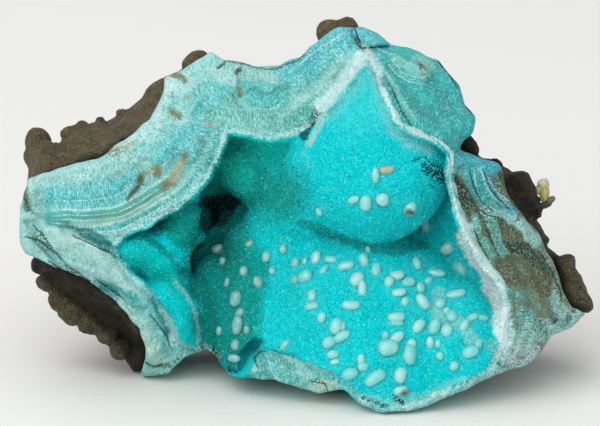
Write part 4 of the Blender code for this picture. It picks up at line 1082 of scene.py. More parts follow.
class Surface:
    """A material's nodes, with short names for the ones used here."""

    def __init__(self, name, roughness, specular):
        self.material = bpy.data.materials.new(name)
        self.material.use_nodes = True
        self.tree = self.material.node_tree
        self.shader = self.tree.nodes["Principled BSDF"]
        self.shader.inputs["Roughness"].default_value = roughness
        self.shader.inputs["Specular IOR Level"].default_value = specular
        self.place = self.scaled(self.tree.nodes.new("ShaderNodeTexCoord").outputs["Object"], 1000.0)

    def feed(self, socket, value):
        """Link another socket, or set a colour or a number."""
        if isinstance(value, bpy.types.NodeSocket):
            self.tree.links.new(value, socket)
        elif isinstance(value, (tuple, list, np.ndarray)):
            socket.default_value = (*[float(c) for c in value[:3]], 1.0)
        else:
            socket.default_value = value

    def scaled(self, vector, factor):
        """A vector times a number."""
        node = self.tree.nodes.new("ShaderNodeVectorMath")
        node.operation = "SCALE"
        self.tree.links.new(vector, node.inputs[0])
        node.inputs["Scale"].default_value = factor
        return node.outputs["Vector"]

    def value(self, key):
        """A number painted on the mesh."""
        node = self.tree.nodes.new("ShaderNodeAttribute")
        node.attribute_name = key
        return node.outputs["Fac"]

    def colour(self, key):
        """A colour painted on the mesh."""
        node = self.tree.nodes.new("ShaderNodeAttribute")
        node.attribute_name = key
        return node.outputs["Color"]

    def noise(self, vector, scale, detail, roughness):
        """Noise from 0 to 1, with about this many features a millimetre."""
        node = self.tree.nodes.new("ShaderNodeTexNoise")
        self.tree.links.new(vector, node.inputs["Vector"])
        node.inputs["Scale"].default_value = scale
        node.inputs["Detail"].default_value = detail
        node.inputs["Roughness"].default_value = roughness
        return node.outputs["Fac"]

    def strands(self, turn, length, depth, width):
        """Noise drawn out along one direction across the face, its sizes in millimetres."""
        node = self.tree.nodes.new("ShaderNodeMapping")
        node.vector_type = "TEXTURE"
        self.tree.links.new(self.place, node.inputs["Vector"])
        node.inputs["Rotation"].default_value = (0.0, -turn, 0.0)
        node.inputs["Scale"].default_value = (length, depth, width)
        return self.noise(node.outputs["Vector"], 1.0, 2.0, 0.6)

    def cells(self, vector, scale):
        """Distance to the middle of a random cell, and the cell's own colour."""
        node = self.tree.nodes.new("ShaderNodeTexVoronoi")
        self.tree.links.new(vector, node.inputs["Vector"])
        node.inputs["Scale"].default_value = scale
        return node.outputs["Distance"], node.outputs["Color"]

    def maths(self, operation, a, b=0.0):
        """One step of arithmetic with numbers or sockets."""
        node = self.tree.nodes.new("ShaderNodeMath")
        node.operation = operation
        self.feed(node.inputs[0], a)
        self.feed(node.inputs[1], b)
        return node.outputs["Value"]

    def plus(self, a, b):
        """The sum of two values."""
        return self.maths("ADD", a, b)

    def times(self, a, b):
        """The product of two values."""
        return self.maths("MULTIPLY", a, b)

    def rise(self, value, low, high, bottom=0.0, top=1.0):
        """A smooth change from bottom to top as the value goes from low to high."""
        node = self.tree.nodes.new("ShaderNodeMapRange")
        node.interpolation_type = "SMOOTHSTEP"
        self.feed(node.inputs["Value"], value)
        node.inputs["From Min"].default_value = low
        node.inputs["From Max"].default_value = high
        node.inputs["To Min"].default_value = bottom
        node.inputs["To Max"].default_value = top
        return node.outputs["Result"]

    def mix(self, factor, a, b):
        """Colour a where the factor is 0, b where it is 1."""
        node = self.tree.nodes.new("ShaderNodeMix")
        node.data_type = "RGBA"
        self.feed(node.inputs[0], factor)
        self.feed(node.inputs[6], a)
        self.feed(node.inputs[7], b)
        return node.outputs[2]

    def finish(self, colour, height, depth, roughness=None):
        """Connect the colour and the bump, its depth in millimetres."""
        self.feed(self.shader.inputs["Base Color"], colour)
        if roughness is not None:
            self.feed(self.shader.inputs["Roughness"], roughness)
        bump = self.tree.nodes.new("ShaderNodeBump")
        bump.inputs["Distance"].default_value = depth * MM
        bump.inputs["Strength"].default_value = 1.0
        self.feed(bump.inputs["Height"], height)
        self.tree.links.new(bump.outputs["Normal"], self.shader.inputs["Normal"])
        return self.material


def crust_fibres(look):
    """Fibres that run across the bands, blended from a few fixed directions."""
    fibres = 0.0
    for step in range(FIBRE_DIRECTIONS):
        strand = look.strands(math.pi * step / FIBRE_DIRECTIONS, *FIBRE_SIZE)
        fibres = look.plus(fibres, look.times(strand, look.value("fibre_%d" % step)))
    return fibres


def crust_bands(look, grain, crumbs):
    """The painted bands, with clouds of teal and the thin pale lines of the left."""
    clumps = look.noise(look.place, 0.8, 3.0, 0.6)
    band = look.plus(look.value("band"), look.times(look.plus(crumbs, -0.5), 0.035))
    base = look.mix(look.rise(clumps, 0.4, 0.62, 0.0, 0.22), look.colour("tint"), linear("teal"))
    for place, width in THIN_LINES:
        near = look.maths("ABSOLUTE", look.plus(band, -place))
        line = look.times(look.rise(near, 0.4 * width, width, 1.0, 0.0), look.value("lines"))
        base = look.mix(look.times(line, look.rise(grain, 0.4, 0.52)), base, linear("pale line"))
    return base


def crust_flecks(look, base, fibres, grain):
    """Gaps and pale streaks along the fibres, pale flecks and dark pits."""
    loose = look.value("fibres")
    shade = look.times(look.rise(fibres, 0.485, 0.42, 0.0, 0.72), loose)
    streaks = look.times(look.rise(fibres, 0.51, 0.6, 0.0, 0.95), loose)
    base = look.mix(shade, base, look.mix(look.value("rusty"), linear("teal"), linear("umber")))
    base = look.mix(streaks, base, linear("ice"))
    flecks = look.times(look.rise(grain, 0.55, 0.61), look.value("flecks"))
    base = look.mix(flecks, base, linear("ice"))
    pits = look.times(look.rise(grain, 0.44, 0.35), look.value("pits"))
    return look.mix(pits, base, look.mix(look.value("rusty"), linear("dark teal"), linear("umber")))


def crust_stains(look, base, grain, crumbs):
    """The crisp strokes as ragged stains, themselves speckled."""
    ragged = look.plus(look.times(crumbs, 1.3), look.times(grain, 1.3))
    amount = look.plus(look.value("amount"), look.plus(ragged, -1.3))
    patch = look.mix(look.rise(grain, 0.48, 0.36, 0.0, 0.75), look.colour("patch"), linear("umber"))
    patch = look.mix(look.rise(grain, 0.55, 0.66, 0.0, 0.7), patch, linear("tan"))
    patch = look.mix(look.rise(crumbs, 0.5, 0.6, 0.0, 0.6), patch, linear("sea green"))
    return look.mix(look.rise(amount, 0.42, 0.58), base, patch)


def hair_lines(look, base, grain, crumbs):
    """Pale edges of layers and dark cracks, wavering a little."""
    sway = look.times(look.plus(crumbs, -0.5), 4.0)
    for name, colour, width, strength in HAIR_LINES:
        away = look.maths("ABSOLUTE", look.plus(look.value(name + "_line"), sway))
        line = look.rise(away, 0.3 * width, width, strength, 0.0)
        line = look.times(line, look.value(name + "_near"))
        line = look.times(line, look.rise(grain, 0.38, 0.5, 0.25, 1.0))
        base = look.mix(line, base, linear(colour))
    return base


def crust_material():
    """Broken aurichalcite: painted bands, fibres across them, flecks, stains and cracks."""
    look = Surface("aurichalcite", 0.75, 0.1)
    fibres = crust_fibres(look)
    grain = look.noise(look.place, 4.2, 3.0, 0.7)
    crumbs = look.noise(look.place, 2.4, 3.0, 0.7)
    base = crust_bands(look, grain, crumbs)
    base = crust_flecks(look, base, fibres, grain)
    base = crust_stains(look, base, grain, crumbs)
    base = hair_lines(look, base, grain, crumbs)
    height = look.plus(look.times(grain, 0.7), look.times(fibres, 0.8))
    return look.finish(base, look.plus(height, look.times(crumbs, 0.5)), 0.42)


def druse_material():
    """Velvety smithsonite druse: saturated turquoise with a grain, and pale flecks painted on as glints.
    """
    look = Surface("smithsonite_druse", 0.55, 0.06)
    distance, shade = look.cells(look.place, 3.4)
    grain = look.noise(look.place, 3.0, 3.0, 0.65)
    fine = look.noise(look.place, 4.6, 2.0, 0.7)
    # Painted glints: pale flecks where the cells and the grain are high, as strong as the painted glint
    # value.
    lit = look.times(look.rise(shade, 0.6, 1.0), look.rise(grain, 0.45, 0.65))
    base = look.mix(look.rise(grain, 0.3, 0.5, 0.3, 0.0), look.colour("tint"), linear("druse shade"))
    base = look.mix(look.times(lit, look.value("painted_glint")), base, linear("frost"))
    frayed = look.times(look.plus(look.plus(fine, grain), -1.0), 2.2)
    cut = look.rise(look.plus(look.value("cut"), frayed), 0.4, 0.7)
    broken = look.mix(look.rise(fine, 0.54, 0.64, 0.0, 0.8), look.colour("edge"), linear("chalk"))
    broken = look.mix(look.rise(fine, 0.45, 0.35, 0.0, 0.8), broken, look.colour("patch"))
    base = look.mix(cut, base, broken)
    amount = look.plus(look.value("amount"), look.times(look.plus(fine, -0.5), 2.0))
    base = look.mix(look.rise(amount, 0.4, 0.6), base, look.colour("patch"))
    height = look.plus(look.times(distance, -1.0), look.times(grain, 0.8))
    return look.finish(base, height, 0.3)


def rock_material():
    """Dark goethite, olive brown and mottled, a little glossy in places."""
    look = Surface("goethite", 0.6, 0.25)
    grain = look.noise(look.place, 1.6, 5.0, 0.75)
    broad = look.noise(look.place, 0.4, 3.0, 0.6)
    fine = look.noise(look.place, 5.0, 3.0, 0.7)
    base = look.mix(look.rise(broad, 0.35, 0.62, 0.0, 0.6), look.colour("tint"), linear("umber"))
    light = look.value("light")
    base = look.mix(look.times(look.rise(grain, 0.5, 0.62, 0.0, 0.75), light), base, linear("bronze"))
    base = look.mix(look.times(look.rise(fine, 0.57, 0.68, 0.0, 0.8), light), base, linear("tan"))
    base = look.mix(look.rise(grain, 0.47, 0.36, 0.0, 0.9), base, linear("black"))
    base = look.mix(look.rise(fine, 0.44, 0.34, 0.0, 0.6), base, linear("black"))
    height = look.plus(look.times(grain, 1.2), look.times(fine, 0.4))
    return look.finish(base, height, 0.5, look.rise(grain, 0.35, 0.65, 0.35, 0.75))


def sparkle_material():
    """Tiny druse crystals that catch the light."""
    look = Surface("smithsonite_points", 0.35, 0.2)
    grain = look.noise(look.place, 2.0, 2.0, 0.5)
    base = look.mix(look.rise(grain, 0.3, 0.7, 0.12, 0.0), look.colour("tint"), linear("druse shade"))
    return look.finish(base, grain, 0.02)


def grain_material():
    """Rice-grain smithsonite: pale, cloudy and part see-through."""
    look = Surface("smithsonite_grains", 0.18, 0.5)
    cloud = look.noise(look.place, 0.7, 2.0, 0.5)
    base = look.mix(look.rise(cloud, 0.45, 0.7, 0.0, 0.3), look.colour("tint"), linear("chalk"))
    look.shader.inputs["Transmission Weight"].default_value = 0.3
    look.shader.inputs["IOR"].default_value = 1.5
    return look.finish(base, cloud, 0.03)


def yellow_material():
    """A small cloudy yellow crystal with a brown foot."""
    look = Surface("yellow_crystal", 0.35, 0.4)
    grain = look.noise(look.place, 2.2, 3.0, 0.6)
    base = look.mix(look.rise(grain, 0.45, 0.35, 0.0, 0.7), look.colour("tint"), linear("umber"))
    return look.finish(base, grain, 0.15)


def line_values(u, v, lines):
    """Signed distance, in pixels, to the nearest of some hair lines, and how near it is."""
    nearest = np.full(len(u), 9.0)
    for points in lines:
        for start, end in zip(points[:-1], points[1:]):
            away = line_distance(u, v, start, end)
            side = (end[0] - start[0]) * (v - start[1]) - (end[1] - start[1]) * (u - start[0])
            closer = away < np.abs(nearest)
            nearest = np.where(closer, np.copysign(away, side), nearest)
    return nearest, smooth_step(np.abs(nearest), 4.5, 2.2)


def paint(colours, strokes, u, v, sway, grit):
    """Lay strokes of named colours over vertex colours. Crisp colours go on a layer of
    their own, with an amount that the material breaks up into flecks."""
    patch = np.repeat(linear("umber")[None], len(u), axis=0)
    amount = np.zeros(len(u))
    for colour, points, half_width, softness, strength in strokes:
        loose = min(1.0, half_width / 5.0)
        distance = stroke_distance(u + loose * sway[0], v + loose * sway[1], points)
        if colour in CRISP:
            level = np.clip(0.5 + (half_width - distance) / (2.0 * softness + 1.0), 0.0, 1.0)
            level = level * (0.3 + 0.65 * strength)
            near = smooth_step(distance, half_width + softness + 5.0, half_width + softness + 1.0)
            tint_towards(patch, colour, near)
            amount = np.maximum(amount, level)
        else:
            mask = 1.0 - smooth_step(distance, half_width, half_width + softness)
            ragged = smooth_step(mask + 0.45 * grit * (mask > 0.0), 0.22, 0.72)
            mask = mask + (ragged - mask) * min(1.0, 6.0 / softness)
            tint_towards(colours, colour, strength * mask)
            amount *= 1.0 - strength * mask
    return colours, patch, amount


def ramp_colours(value, stops):
    """Colours along a list of (place, named colour)."""
    places = [stop[0] for stop in stops]
    table = np.array([linear(stop[1]) for stop in stops])
    return np.stack([np.interp(value, places, table[:, c]) for c in range(3)], axis=1)


def fibre_weights(grid, rim, flat):
    """How much each direction of fibres counts, across the bands at each vertex."""
    angle = np.arctan2(grid.sample(rim["slope_z"], flat), grid.sample(rim["slope_x"], flat))
    weights = {}
    for step in range(FIBRE_DIRECTIONS):
        away = np.abs((angle - math.pi * step / FIBRE_DIRECTIONS + math.pi / 2) % math.pi - math.pi / 2)
        weights["fibre_%d" % step] = np.clip(1.0 - away * FIBRE_DIRECTIONS / math.pi, 0.0, 1.0)
    return weights


def crust_colours(points, u, v, share, loose):
    """The band colours of each region of the rim, a little loose, with the strokes on them."""
    drift = waves_at(points, 3.5, 61)
    ragged = waves_at(points, 1.2, 62)
    sway = (4.0 * waves_at(points, 1.8, 63), 4.0 * waves_at(points, 1.8, 65))
    band = np.clip(share + loose * (0.05 * drift + 0.025 * ragged), 0.0, 1.0)
    colours = ramp_colours(band, LEFT_BANDS)
    for bands, edge, softness in REGIONS:
        away = outline_distance(edge, u + sway[0], v + sway[1])
        inside = 1.0 - smooth_step(away, -softness, softness)
        colours += (ramp_colours(band, bands) - colours) * inside[:, None]
    return paint(colours, RIM_STROKES, u, v, sway, waves_at(points, 0.75, 64))


def crust_values(grid, rim, points):
    """Colours and other painted values of the crust's vertices, under the names by which
    its material reads them."""
    flat = points.copy()
    flat[:, 1] = grid.low[1]
    share = grid.sample(rim["band"], flat)
    u, v = picture_place(points)
    # The banded left, the slab at the upper right, the rusty right side, and the front.
    left = smooth_step(u, 190, 165) * smooth_step(v, 246, 232)
    slab = smooth_step(u, 366, 384) * (1.0 - smooth_step(v, 200, 216))
    right = smooth_step(u, 462, 490) * smooth_step(v, 165, 190)
    front = smooth_step(points[:, 1], 20.0, 16.0)
    colours, patch, amount = crust_colours(points, u, v, share, 1.0 - 0.7 * left)
    dark_line, dark_near = line_values(u, v, DARK_LINES)
    pale_line, pale_near = line_values(u, v, PALE_LINES)
    plates = stroke_mask(u, v, PLATES, 18, 8)
    green = left * smooth_step(share, 0.17, 0.21) * smooth_step(share, 0.38, 0.35)
    curl = stroke_mask(u, v, BOTTOM_CURL, 9, 4)
    calm = np.clip(0.4 * plates + 0.9 * green + 0.9 * curl, 0.0, 0.9)
    patchy = smooth_step(waves_at(points, 4.0, 67), -0.5, 0.7)
    values = {
        "tint": colours, "patch": patch, "amount": amount, "band": share,
        "lines": left * smooth_step(u, 46, 62),
        "dark_line": dark_line, "dark_near": dark_near * front,
        "pale_line": pale_line, "pale_near": pale_near * front,
        "flecks": (0.6 + 0.4 * patchy) * (1.0 - calm) * (1.0 - 0.3 * right) * (1.0 - 0.7 * slab),
        "fibres": (0.5 + 0.4 * (1.0 - patchy)) * (1.0 - calm) * (1.0 - 0.3 * slab),
        "pits": (0.3 + 0.6 * right) * (1.0 - 0.6 * calm),
        "rusty": right,
    }
    values.update(fibre_weights(grid, rim, flat))
    return values


def near_grains(u, v):
    """1 beside the rice grains, fading to 0 a few pixels away."""
    near = np.zeros(len(u))
    for grain_u, grain_v, long_pixels, wide_pixels, _ in GRAINS:
        away = np.hypot(u - grain_u, v - grain_v) - 0.25 * (long_pixels + wide_pixels)
        near = np.maximum(near, smooth_step(away, 6.0, 0.0))
    return near


def druse_values(grid, crust, points):
    """Colours of the druse's vertices, painted darker as shade deeper in the hollow, how much painted
    glint they carry and where its edge is cut.
    """
    u, v = picture_place(points)
    wander = waves_at(points, 2.0, 71)
    ragged = waves_at(points, 0.8, 72)
    sway = (3.0 * wander, 3.0 * waves_at(points, 2.0, 73))
    # Painted shade: the druse darkens towards the back of the hollow, and carries fewer painted glints
    # there.
    deep = smooth_step(points[:, 1] + 1.5 * waves_at(points, 5.0, 75), 9.0, 24.0)
    colours = ramp_colours(deep, [(0.0, "druse"), (0.45, "druse"), (1.0, "druse mottle and shade")])
    around = near_grains(u + sway[0], v + sway[1]) * smooth_step(u, 255, 275)
    tint_towards(colours, "druse light", 0.26 * around)
    mottle = smooth_step(waves_at(points, 2.6, 76), 0.0, 1.0) * smooth_step(v, 250, 270)
    tint_towards(colours, "druse mottle and shade", 0.22 * mottle * (1.0 - around))
    colours, patch, amount = paint(colours, DRUSE_STROKES, u, v, sway, ragged)
    cut = 1.0 - smooth_step(-grid.sample(crust, points) + 0.25 * ragged, 0.0, 0.85)
    for points_of_edge, half_width, softness in QUIET_EDGES:
        cut = cut * (1.0 - stroke_mask(u, v, points_of_edge, half_width, softness))
    # The shaded left of the hollow, where no painted glints go.
    left = 1.0 - smooth_step(u, 215, 240)
    bright = stroke_mask(u, v, BRIGHT_EDGE, 7, 9)
    brown = smooth_step(u, 330, 300) * smooth_step(v, 260, 230)
    edge = linear("frost") + (linear("chalk") - linear("frost")) * bright[:, None]
    fleck = linear("frost") + (linear("bronze") - linear("frost")) * brown[:, None]
    patch += (fleck - patch) * (cut * (amount < 0.1))[:, None]
    return {
        "tint": colours, "patch": patch, "amount": amount, "edge": edge,
        "cut": cut * (0.8 + 0.2 * bright), "painted_glint": (0.36 - 0.26 * deep) * (1.0 - left),
    }


def scatter_points(verts, normals, faces, weight, count, seed):
    """Random places on a surface, with its normal there."""
    rng = np.random.default_rng(seed)
    cross = np.cross(verts[faces[:, 2]] - verts[faces[:, 0]], verts[faces[:, 3]] - verts[faces[:, 1]])
    area = np.linalg.norm(cross, axis=1) * weight[faces].mean(axis=1)
    chosen = rng.choice(len(faces), size=count, p=area / area.sum())
    s, t = rng.random((2, count, 1))
    corners = faces[chosen]
    shares = [(1 - s) * (1 - t), s * (1 - t), s * t, (1 - s) * t]
    place = sum(share * verts[corners[:, c]] for c, share in enumerate(shares))
    normal = sum(share * normals[corners[:, c]] for c, share in enumerate(shares))
    return place, normal / np.linalg.norm(normal, axis=1, keepdims=True), corners[:, 0]


def small_points(place, normal, radius, height, seed):
    """Three-sided crystal points standing on a surface."""
    rng = np.random.default_rng(seed)
    count = len(place)
    axis = normal + rng.normal(0.0, POINT_LEAN, (count, 3))
    axis /= np.linalg.norm(axis, axis=1, keepdims=True)
    side = np.cross(axis, rng.normal(0.0, 1.0, (count, 3)))
    side /= np.linalg.norm(side, axis=1, keepdims=True)
    other = np.cross(axis, side)
    rings = []
    for turn in range(3):
        angle = turn * 2.0 * math.pi / 3.0
        reach = side * math.cos(angle) + other * math.sin(angle)
        rings.append(place + reach * radius[:, None] - axis * POINT_ROOT)
    tip = place + axis * height[:, None]
    verts = np.stack([tip] + rings, axis=1).reshape(-1, 3)
    base = np.arange(count)[:, None] * 4
    sides = [(0, 1, 2), (0, 2, 3), (0, 3, 1)]
    return verts, np.concatenate([base + np.array([corners]) for corners in sides])


def make_points(verts, normals, faces, values, weight):
    """The druse's tiny crystals, a few of them painted pale as glints."""
    rng = np.random.default_rng(81)
    place, normal, corner = scatter_points(verts, normals, faces, weight, POINT_COUNT, 82)
    radius = rng.uniform(*POINT_RADII, len(place))
    height = rng.uniform(*POINT_HEIGHTS, len(place))
    points, triangles = small_points(place, normal, radius, height, 83)
    shade = rng.random(len(place))
    colours = values["tint"][corner] * (0.78 + 0.34 * shade[:, None])
    # Painted glints: one point in twenty turns pale where the druse carries painted glint.
    pale = (shade > 0.95)[:, None] * values["painted_glint"][corner][:, None]
    colours = colours + (linear("frost") - colours) * pale * 0.7
    tint = np.repeat(np.clip(colours, 0.0, 1.0), 4, axis=0)
    make_piece("druse_points", points, triangles, sparkle_material(), ["crystal_crust"],
               {"tint": tint}, smooth=False)


def grain_mesh(rings=7, around=12):
    """A unit rice grain along x, rounded, a little blunt at its ends."""
    verts = [(1.0, 0.0, 0.0)]
    faces = []
    for ring in range(1, rings):
        turn = math.pi * ring / rings
        girth = math.sin(turn) ** 0.8
        for step in range(around):
            angle = 2.0 * math.pi * step / around
            verts.append((math.cos(turn), girth * math.cos(angle), girth * math.sin(angle)))
    verts.append((-1.0, 0.0, 0.0))
    last = len(verts) - 1
    for step in range(around):
        follow = (step + 1) % around
        faces.append((0, 1 + step, 1 + follow))
        end = 1 + (rings - 2) * around
        faces.append((last, end + follow, end + step))
        for ring in range(rings - 2):
            a = 1 + ring * around
            b = a + around
            faces.append((a + step, b + step, b + follow))
            faces.append((a + step, b + follow, a + follow))
    return np.array(verts), np.array(faces)


def sight_line(u, v):
    """The camera's place and the direction of its sight through a pixel, in the face frame."""
    start = Vector((AIM[0], AIM[1] - CAMERA_DISTANCE, AIM[2]))
    across = (u - PICTURE_MIDDLE[0]) * PIXEL
    up = (PICTURE_MIDDLE[1] - v) * PIXEL
    return start, Vector((across, CAMERA_DISTANCE, up)).normalized()


def uneven(body, rng, strength, size, seed):
    """A crystal's points, pushed in and out a little."""
    return body * (1.0 + strength * waves_at(body + rng.uniform(-9, 9, 3), size, seed)[:, None])


def grain_tints(u, v, points, rng):
    """Colours of one rice grain: duller on the left flank, and a few of them spotted."""
    grey = 0.75 if u < 262 else (0.35 if u < 300 else 0.0)
    tint = linear("grain") + (linear("pale grain") - linear("grain")) * rng.uniform(0.0, 0.7)
    tint = tint + (linear("dull grain") - tint) * grey
    if (u, v) == TAN_ROD:
        tint = linear("tan")
    tints = np.repeat(tint[None], len(points), axis=0)
    if (u, v) in SPOTTED_GRAINS:
        tint_towards(tints, "umber", smooth_step(waves_at(points, 0.9, 95), 0.1, 0.5))
    return tints


def join_crystals(name, crystals, triangles, material, node):
    """One piece from crystals that have the same triangles: the points and tints of each."""
    points = [place for place, _ in crystals]
    faces = [triangles + number * len(place) for number, place in enumerate(points)]
    tint = np.concatenate([tints for _, tints in crystals])
    make_piece(name, np.concatenate(points), np.concatenate(faces), material, [node], {"tint": tint})


def make_grains(verts, faces):
    """Rice-grain crystals lying on the druse where the sight lines of their pixels meet it."""
    tree = BVHTree.FromPolygons(verts.tolist(), faces.tolist())
    rng = np.random.default_rng(91)
    unit, triangles = grain_mesh()
    crystals = []
    for u, v, long_pixels, wide_pixels, lean in GRAINS:
        hit, normal, _, _ = tree.ray_cast(*sight_line(u, v))
        if hit is None:
            continue
        if normal.y > 0.0:
            normal = -normal
        turn = math.radians(lean)
        along = Vector((math.sin(turn), rng.uniform(-0.2, 0.2), math.cos(turn)))
        along = (along - normal * along.dot(normal) * 0.6).normalized()
        side = normal.cross(along).normalized()
        out = along.cross(side).normalized()
        half_width = wide_pixels * PIXEL / 2
        half = np.array([long_pixels * PIXEL / 2, half_width, half_width * rng.uniform(0.7, 0.9)])
        body = uneven(unit * half, rng, 0.1, 0.8, 92)
        centre = np.array(hit) + np.array(normal) * half[2] * rng.uniform(0.2, 0.5)
        tints = grain_tints(u, v, body + centre, rng)
        crystals.append((body @ np.array([along, side, out]) + centre, tints))
    join_crystals("smithsonite_grains", crystals, triangles, grain_material(), "crystal_crust")


def make_yellow_crystal():
    """The little yellow crystal that stands on the rock's right edge."""
    rng = np.random.default_rng(93)
    unit, triangles = grain_mesh()
    crystals = []
    for centre, half, lean, colour in YELLOW_CRYSTAL:
        turn = math.radians(lean)
        along = np.array([math.sin(turn), 0.0, math.cos(turn)])
        side = np.array([math.cos(turn), 0.0, -math.sin(turn)])
        body = uneven(unit * np.array(half), rng, 0.16, 0.9, 94)
        place = body @ np.array([along, side, [0.0, 1.0, 0.0]]) + np.array(centre)
        crystals.append((place, np.repeat(linear(colour)[None], len(unit), axis=0)))
    join_crystals("yellow_crystal", crystals, triangles, yellow_material(), "matrix")


def lower_left(u, v):
    """1 where the knobbly lower left of the rock appears in the picture."""
    return smooth_step(u, 180, 150) * smooth_step(v, 230, 260)


def shaded_band(u, v):
    """1 where the lower left of the rock lies in shade under the crust's lip, smooth and painted dark as
    shade, inside its knobs.
    """
    return stroke_mask(u, v, ROCK_IN_SHADE, 9, 6)


def rock_values(points, bumps, junction_shade):
    """Colours of the dark rock's vertices, with painted shade where it meets the crust and under the
    crust's lip.
    """
    u, v = picture_place(points)
    inside = shaded_band(u, v)
    # The plate at the upper left, the knobs at the lower left, the right side, the slab that
    # stands off it, and the knobs at the top.
    slab = smooth_step(u, 215, 185) * smooth_step(v, 215, 180)
    lower = lower_left(u, v)
    right = smooth_step(u, 440, 470)
    block = smooth_step(u, 556, 562) * smooth_step(v, 254, 262)
    top = smooth_step(u, 300, 312) * smooth_step(u, 372, 360) * smooth_step(v, 60, 50)
    colours = np.repeat(linear("umber")[None], len(points), axis=0)
    for name, mask in (("bronze", 0.8 * slab), ("bronze", top), ("umber", lower),
                       ("black", 0.95 * right), ("olive", 0.8 * block)):
        tint_towards(colours, name, mask)
    knobs = smooth_step(bumps, 0.55, 1.0) * (0.3 + 0.6 * lower)
    tint_towards(colours, "bronze", 0.6 * knobs * (1.0 - right))
    # Painted shade: black in the band under the crust's lip.
    tint_towards(colours, "black", 0.85 * inside)
    # The right side is darker in its own colour; the darkening where the rock meets the crust and in the
    # band under the crust's lip is painted shade, and there the pale flecks go too.
    dim = (0.85 - 0.7 * right * (1.0 - block)) * (1.0 - 0.85 * junction_shade) * (1.0 - 0.5 * inside)
    light = (1.0 - 0.8 * right * (1.0 - block) - 0.3 * lower) * (1.0 - junction_shade) * (1.0 - inside)
    return {"tint": colours * dim[:, None], "light": light}


def fields(grid):
    """The rim's values, the whole crust and the space of the hollow."""
    rim = rim_tables(grid)
    return rim, crust_field(grid, rim), hollow_field(grid, rim)


def build_crust(grid):
    """The broken turquoise crust."""
    rim, crust, hollow = fields(grid)
    field = np.maximum(np.maximum(crust, LINING - LINING_OVERLAP - hollow), ground_field(grid))
    verts, faces = keep_largest(*surface_net(grid, field.astype(np.float32)))
    values = crust_values(grid, rim, verts)
    normals = vertex_normals(verts, faces)
    rough = 0.12 * waves_at(verts, 0.9, 41) * (0.4 + values["flecks"])
    make_piece("aurichalcite_surface", verts + normals * rough[:, None], faces, crust_material(),
               ["aurichalcite_crust"], values)


def build_druse(grid):
    """The lining of the hollow with its tiny points and its rice grains."""
    _, crust, hollow = fields(grid)
    field = np.maximum(np.maximum(crust + LINING_SETBACK, -hollow), hollow - LINING)
    verts, faces = keep_largest(*surface_net(grid, field.astype(np.float32)))
    normals = vertex_normals(verts, faces)
    verts = verts + normals * (0.1 * waves_at(verts, 0.9, 42))[:, None]
    values = druse_values(grid, crust, verts)
    make_piece("druse_surface", verts, faces, druse_material(), ["crystal_crust"], values)
    open_side = smooth_step(-grid.sample(hollow, verts), -0.35, -0.15)
    behind_rim = smooth_step(-grid.sample(crust, verts), 0.2, 0.5)
    make_points(verts, normals, faces, values, open_side * behind_rim)
    make_grains(verts, faces)


def build_rock():
    """The dark rock behind the crust."""
    grid = Grid(COARSE_STEP)
    crust = crust_field(grid, rim_tables(grid))
    field = np.maximum(matrix_field(grid, crust), ground_field(grid))
    verts, faces = keep_largest(*surface_net(grid, field.astype(np.float32)))
    normals = vertex_normals(verts, faces)
    beside = grid.sample(crust, verts)
    clear = smooth_step(beside, 0.6, 1.6)
    # Painted shade where the rock meets the crust's edge.
    junction_shade = smooth_step(beside + 0.5 * waves_at(verts, 1.5, 58), 1.6, 0.7)
    bumps = bumps_at(verts, 2.6, 51)
    small = bumps_at(verts, 1.0, 55)
    u, v = picture_place(verts)
    knobbly = (0.35 + 0.5 * lower_left(u, v)) * (1.0 - 0.8 * shaded_band(u, v))
    push = clear * (knobbly * (bumps - 0.7) + 0.25 * (small - 0.5) + 0.28 * waves_at(verts, 1.1, 57))
    make_piece("goethite_surface", verts + normals * push[:, None], faces, rock_material(),
               ["matrix"], rock_values(verts, bumps, junction_shade))


def build_specimen():
    """Every piece of the specimen."""
    build_crust(Grid(CRUST_STEP))
    build_druse(Grid(FINE_STEP))
    build_rock()
    make_yellow_crystal()


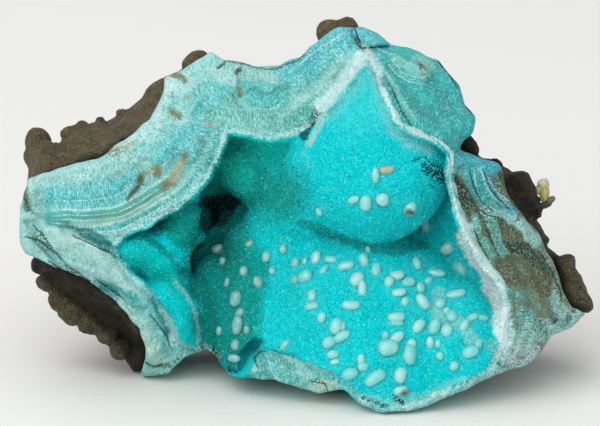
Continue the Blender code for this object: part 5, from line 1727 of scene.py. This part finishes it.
def face_to_world(x, y, z):
    """One point of the face frame, standing."""
    return Vector(stand_up(np.array([[x, y, z]]))[0])


def add_camera():
    """A long lens at the photograph's angle, framed as the photograph is."""
    data = bpy.data.cameras.new("camera")
    camera = bpy.data.objects.new("camera", data)
    bpy.context.collection.objects.link(camera)
    direction = Vector((0.0, math.cos(LEAN), -math.sin(LEAN)))
    camera.location = face_to_world(*AIM) - direction * CAMERA_DISTANCE * MM
    camera.rotation_euler = direction.to_track_quat("-Z", "Y").to_euler()
    data.sensor_width = SENSOR_WIDTH
    data.lens = data.sensor_width * CAMERA_DISTANCE / (2.0 * PICTURE_MIDDLE[0] * PIXEL)
    data.clip_start = 0.05
    data.clip_end = 20.0
    bpy.context.scene.camera = camera


def floor_material():
    """Plain pale floor."""
    look = Surface("floor", 0.6, 0.2)
    broad = look.noise(look.place, 0.02, 2.0, 0.5)
    base = look.mix(broad, *FLOOR_COLOURS)
    return look.finish(base, broad, 0.01)


def add_studio():
    """A pale floor, a large soft key light from the upper left and a weak fill."""
    mesh = bpy.data.meshes.new("floor")
    ring = [(-1, -1), (1, -1), (1, 1), (-1, 1)]
    mesh.from_pydata([(x * FLOOR_REACH, y * FLOOR_REACH, 0.0) for x, y in ring], [], [(0, 1, 2, 3)])
    floor = bpy.data.objects.new("floor", mesh)
    bpy.context.collection.objects.link(floor)
    mesh.materials.append(floor_material())
    for name, place, size, power, colour in LIGHTS:
        data = bpy.data.lights.new(name, "AREA")
        data.size = size
        data.energy = power
        data.color = colour
        light = bpy.data.objects.new(name, data)
        light.location = place
        light.rotation_euler = (Vector(LIGHT_AIM) - Vector(place)).to_track_quat("-Z", "Y").to_euler()
        bpy.context.collection.objects.link(light)
    world = bpy.data.worlds.new("studio")
    world.use_nodes = True
    background = world.node_tree.nodes["Background"]
    background.inputs["Color"].default_value = WORLD_COLOUR
    background.inputs["Strength"].default_value = WORLD_STRENGTH
    bpy.context.scene.world = world
    bpy.context.scene.view_settings.view_transform = "Standard"


build_specimen()
add_camera()
add_studio()
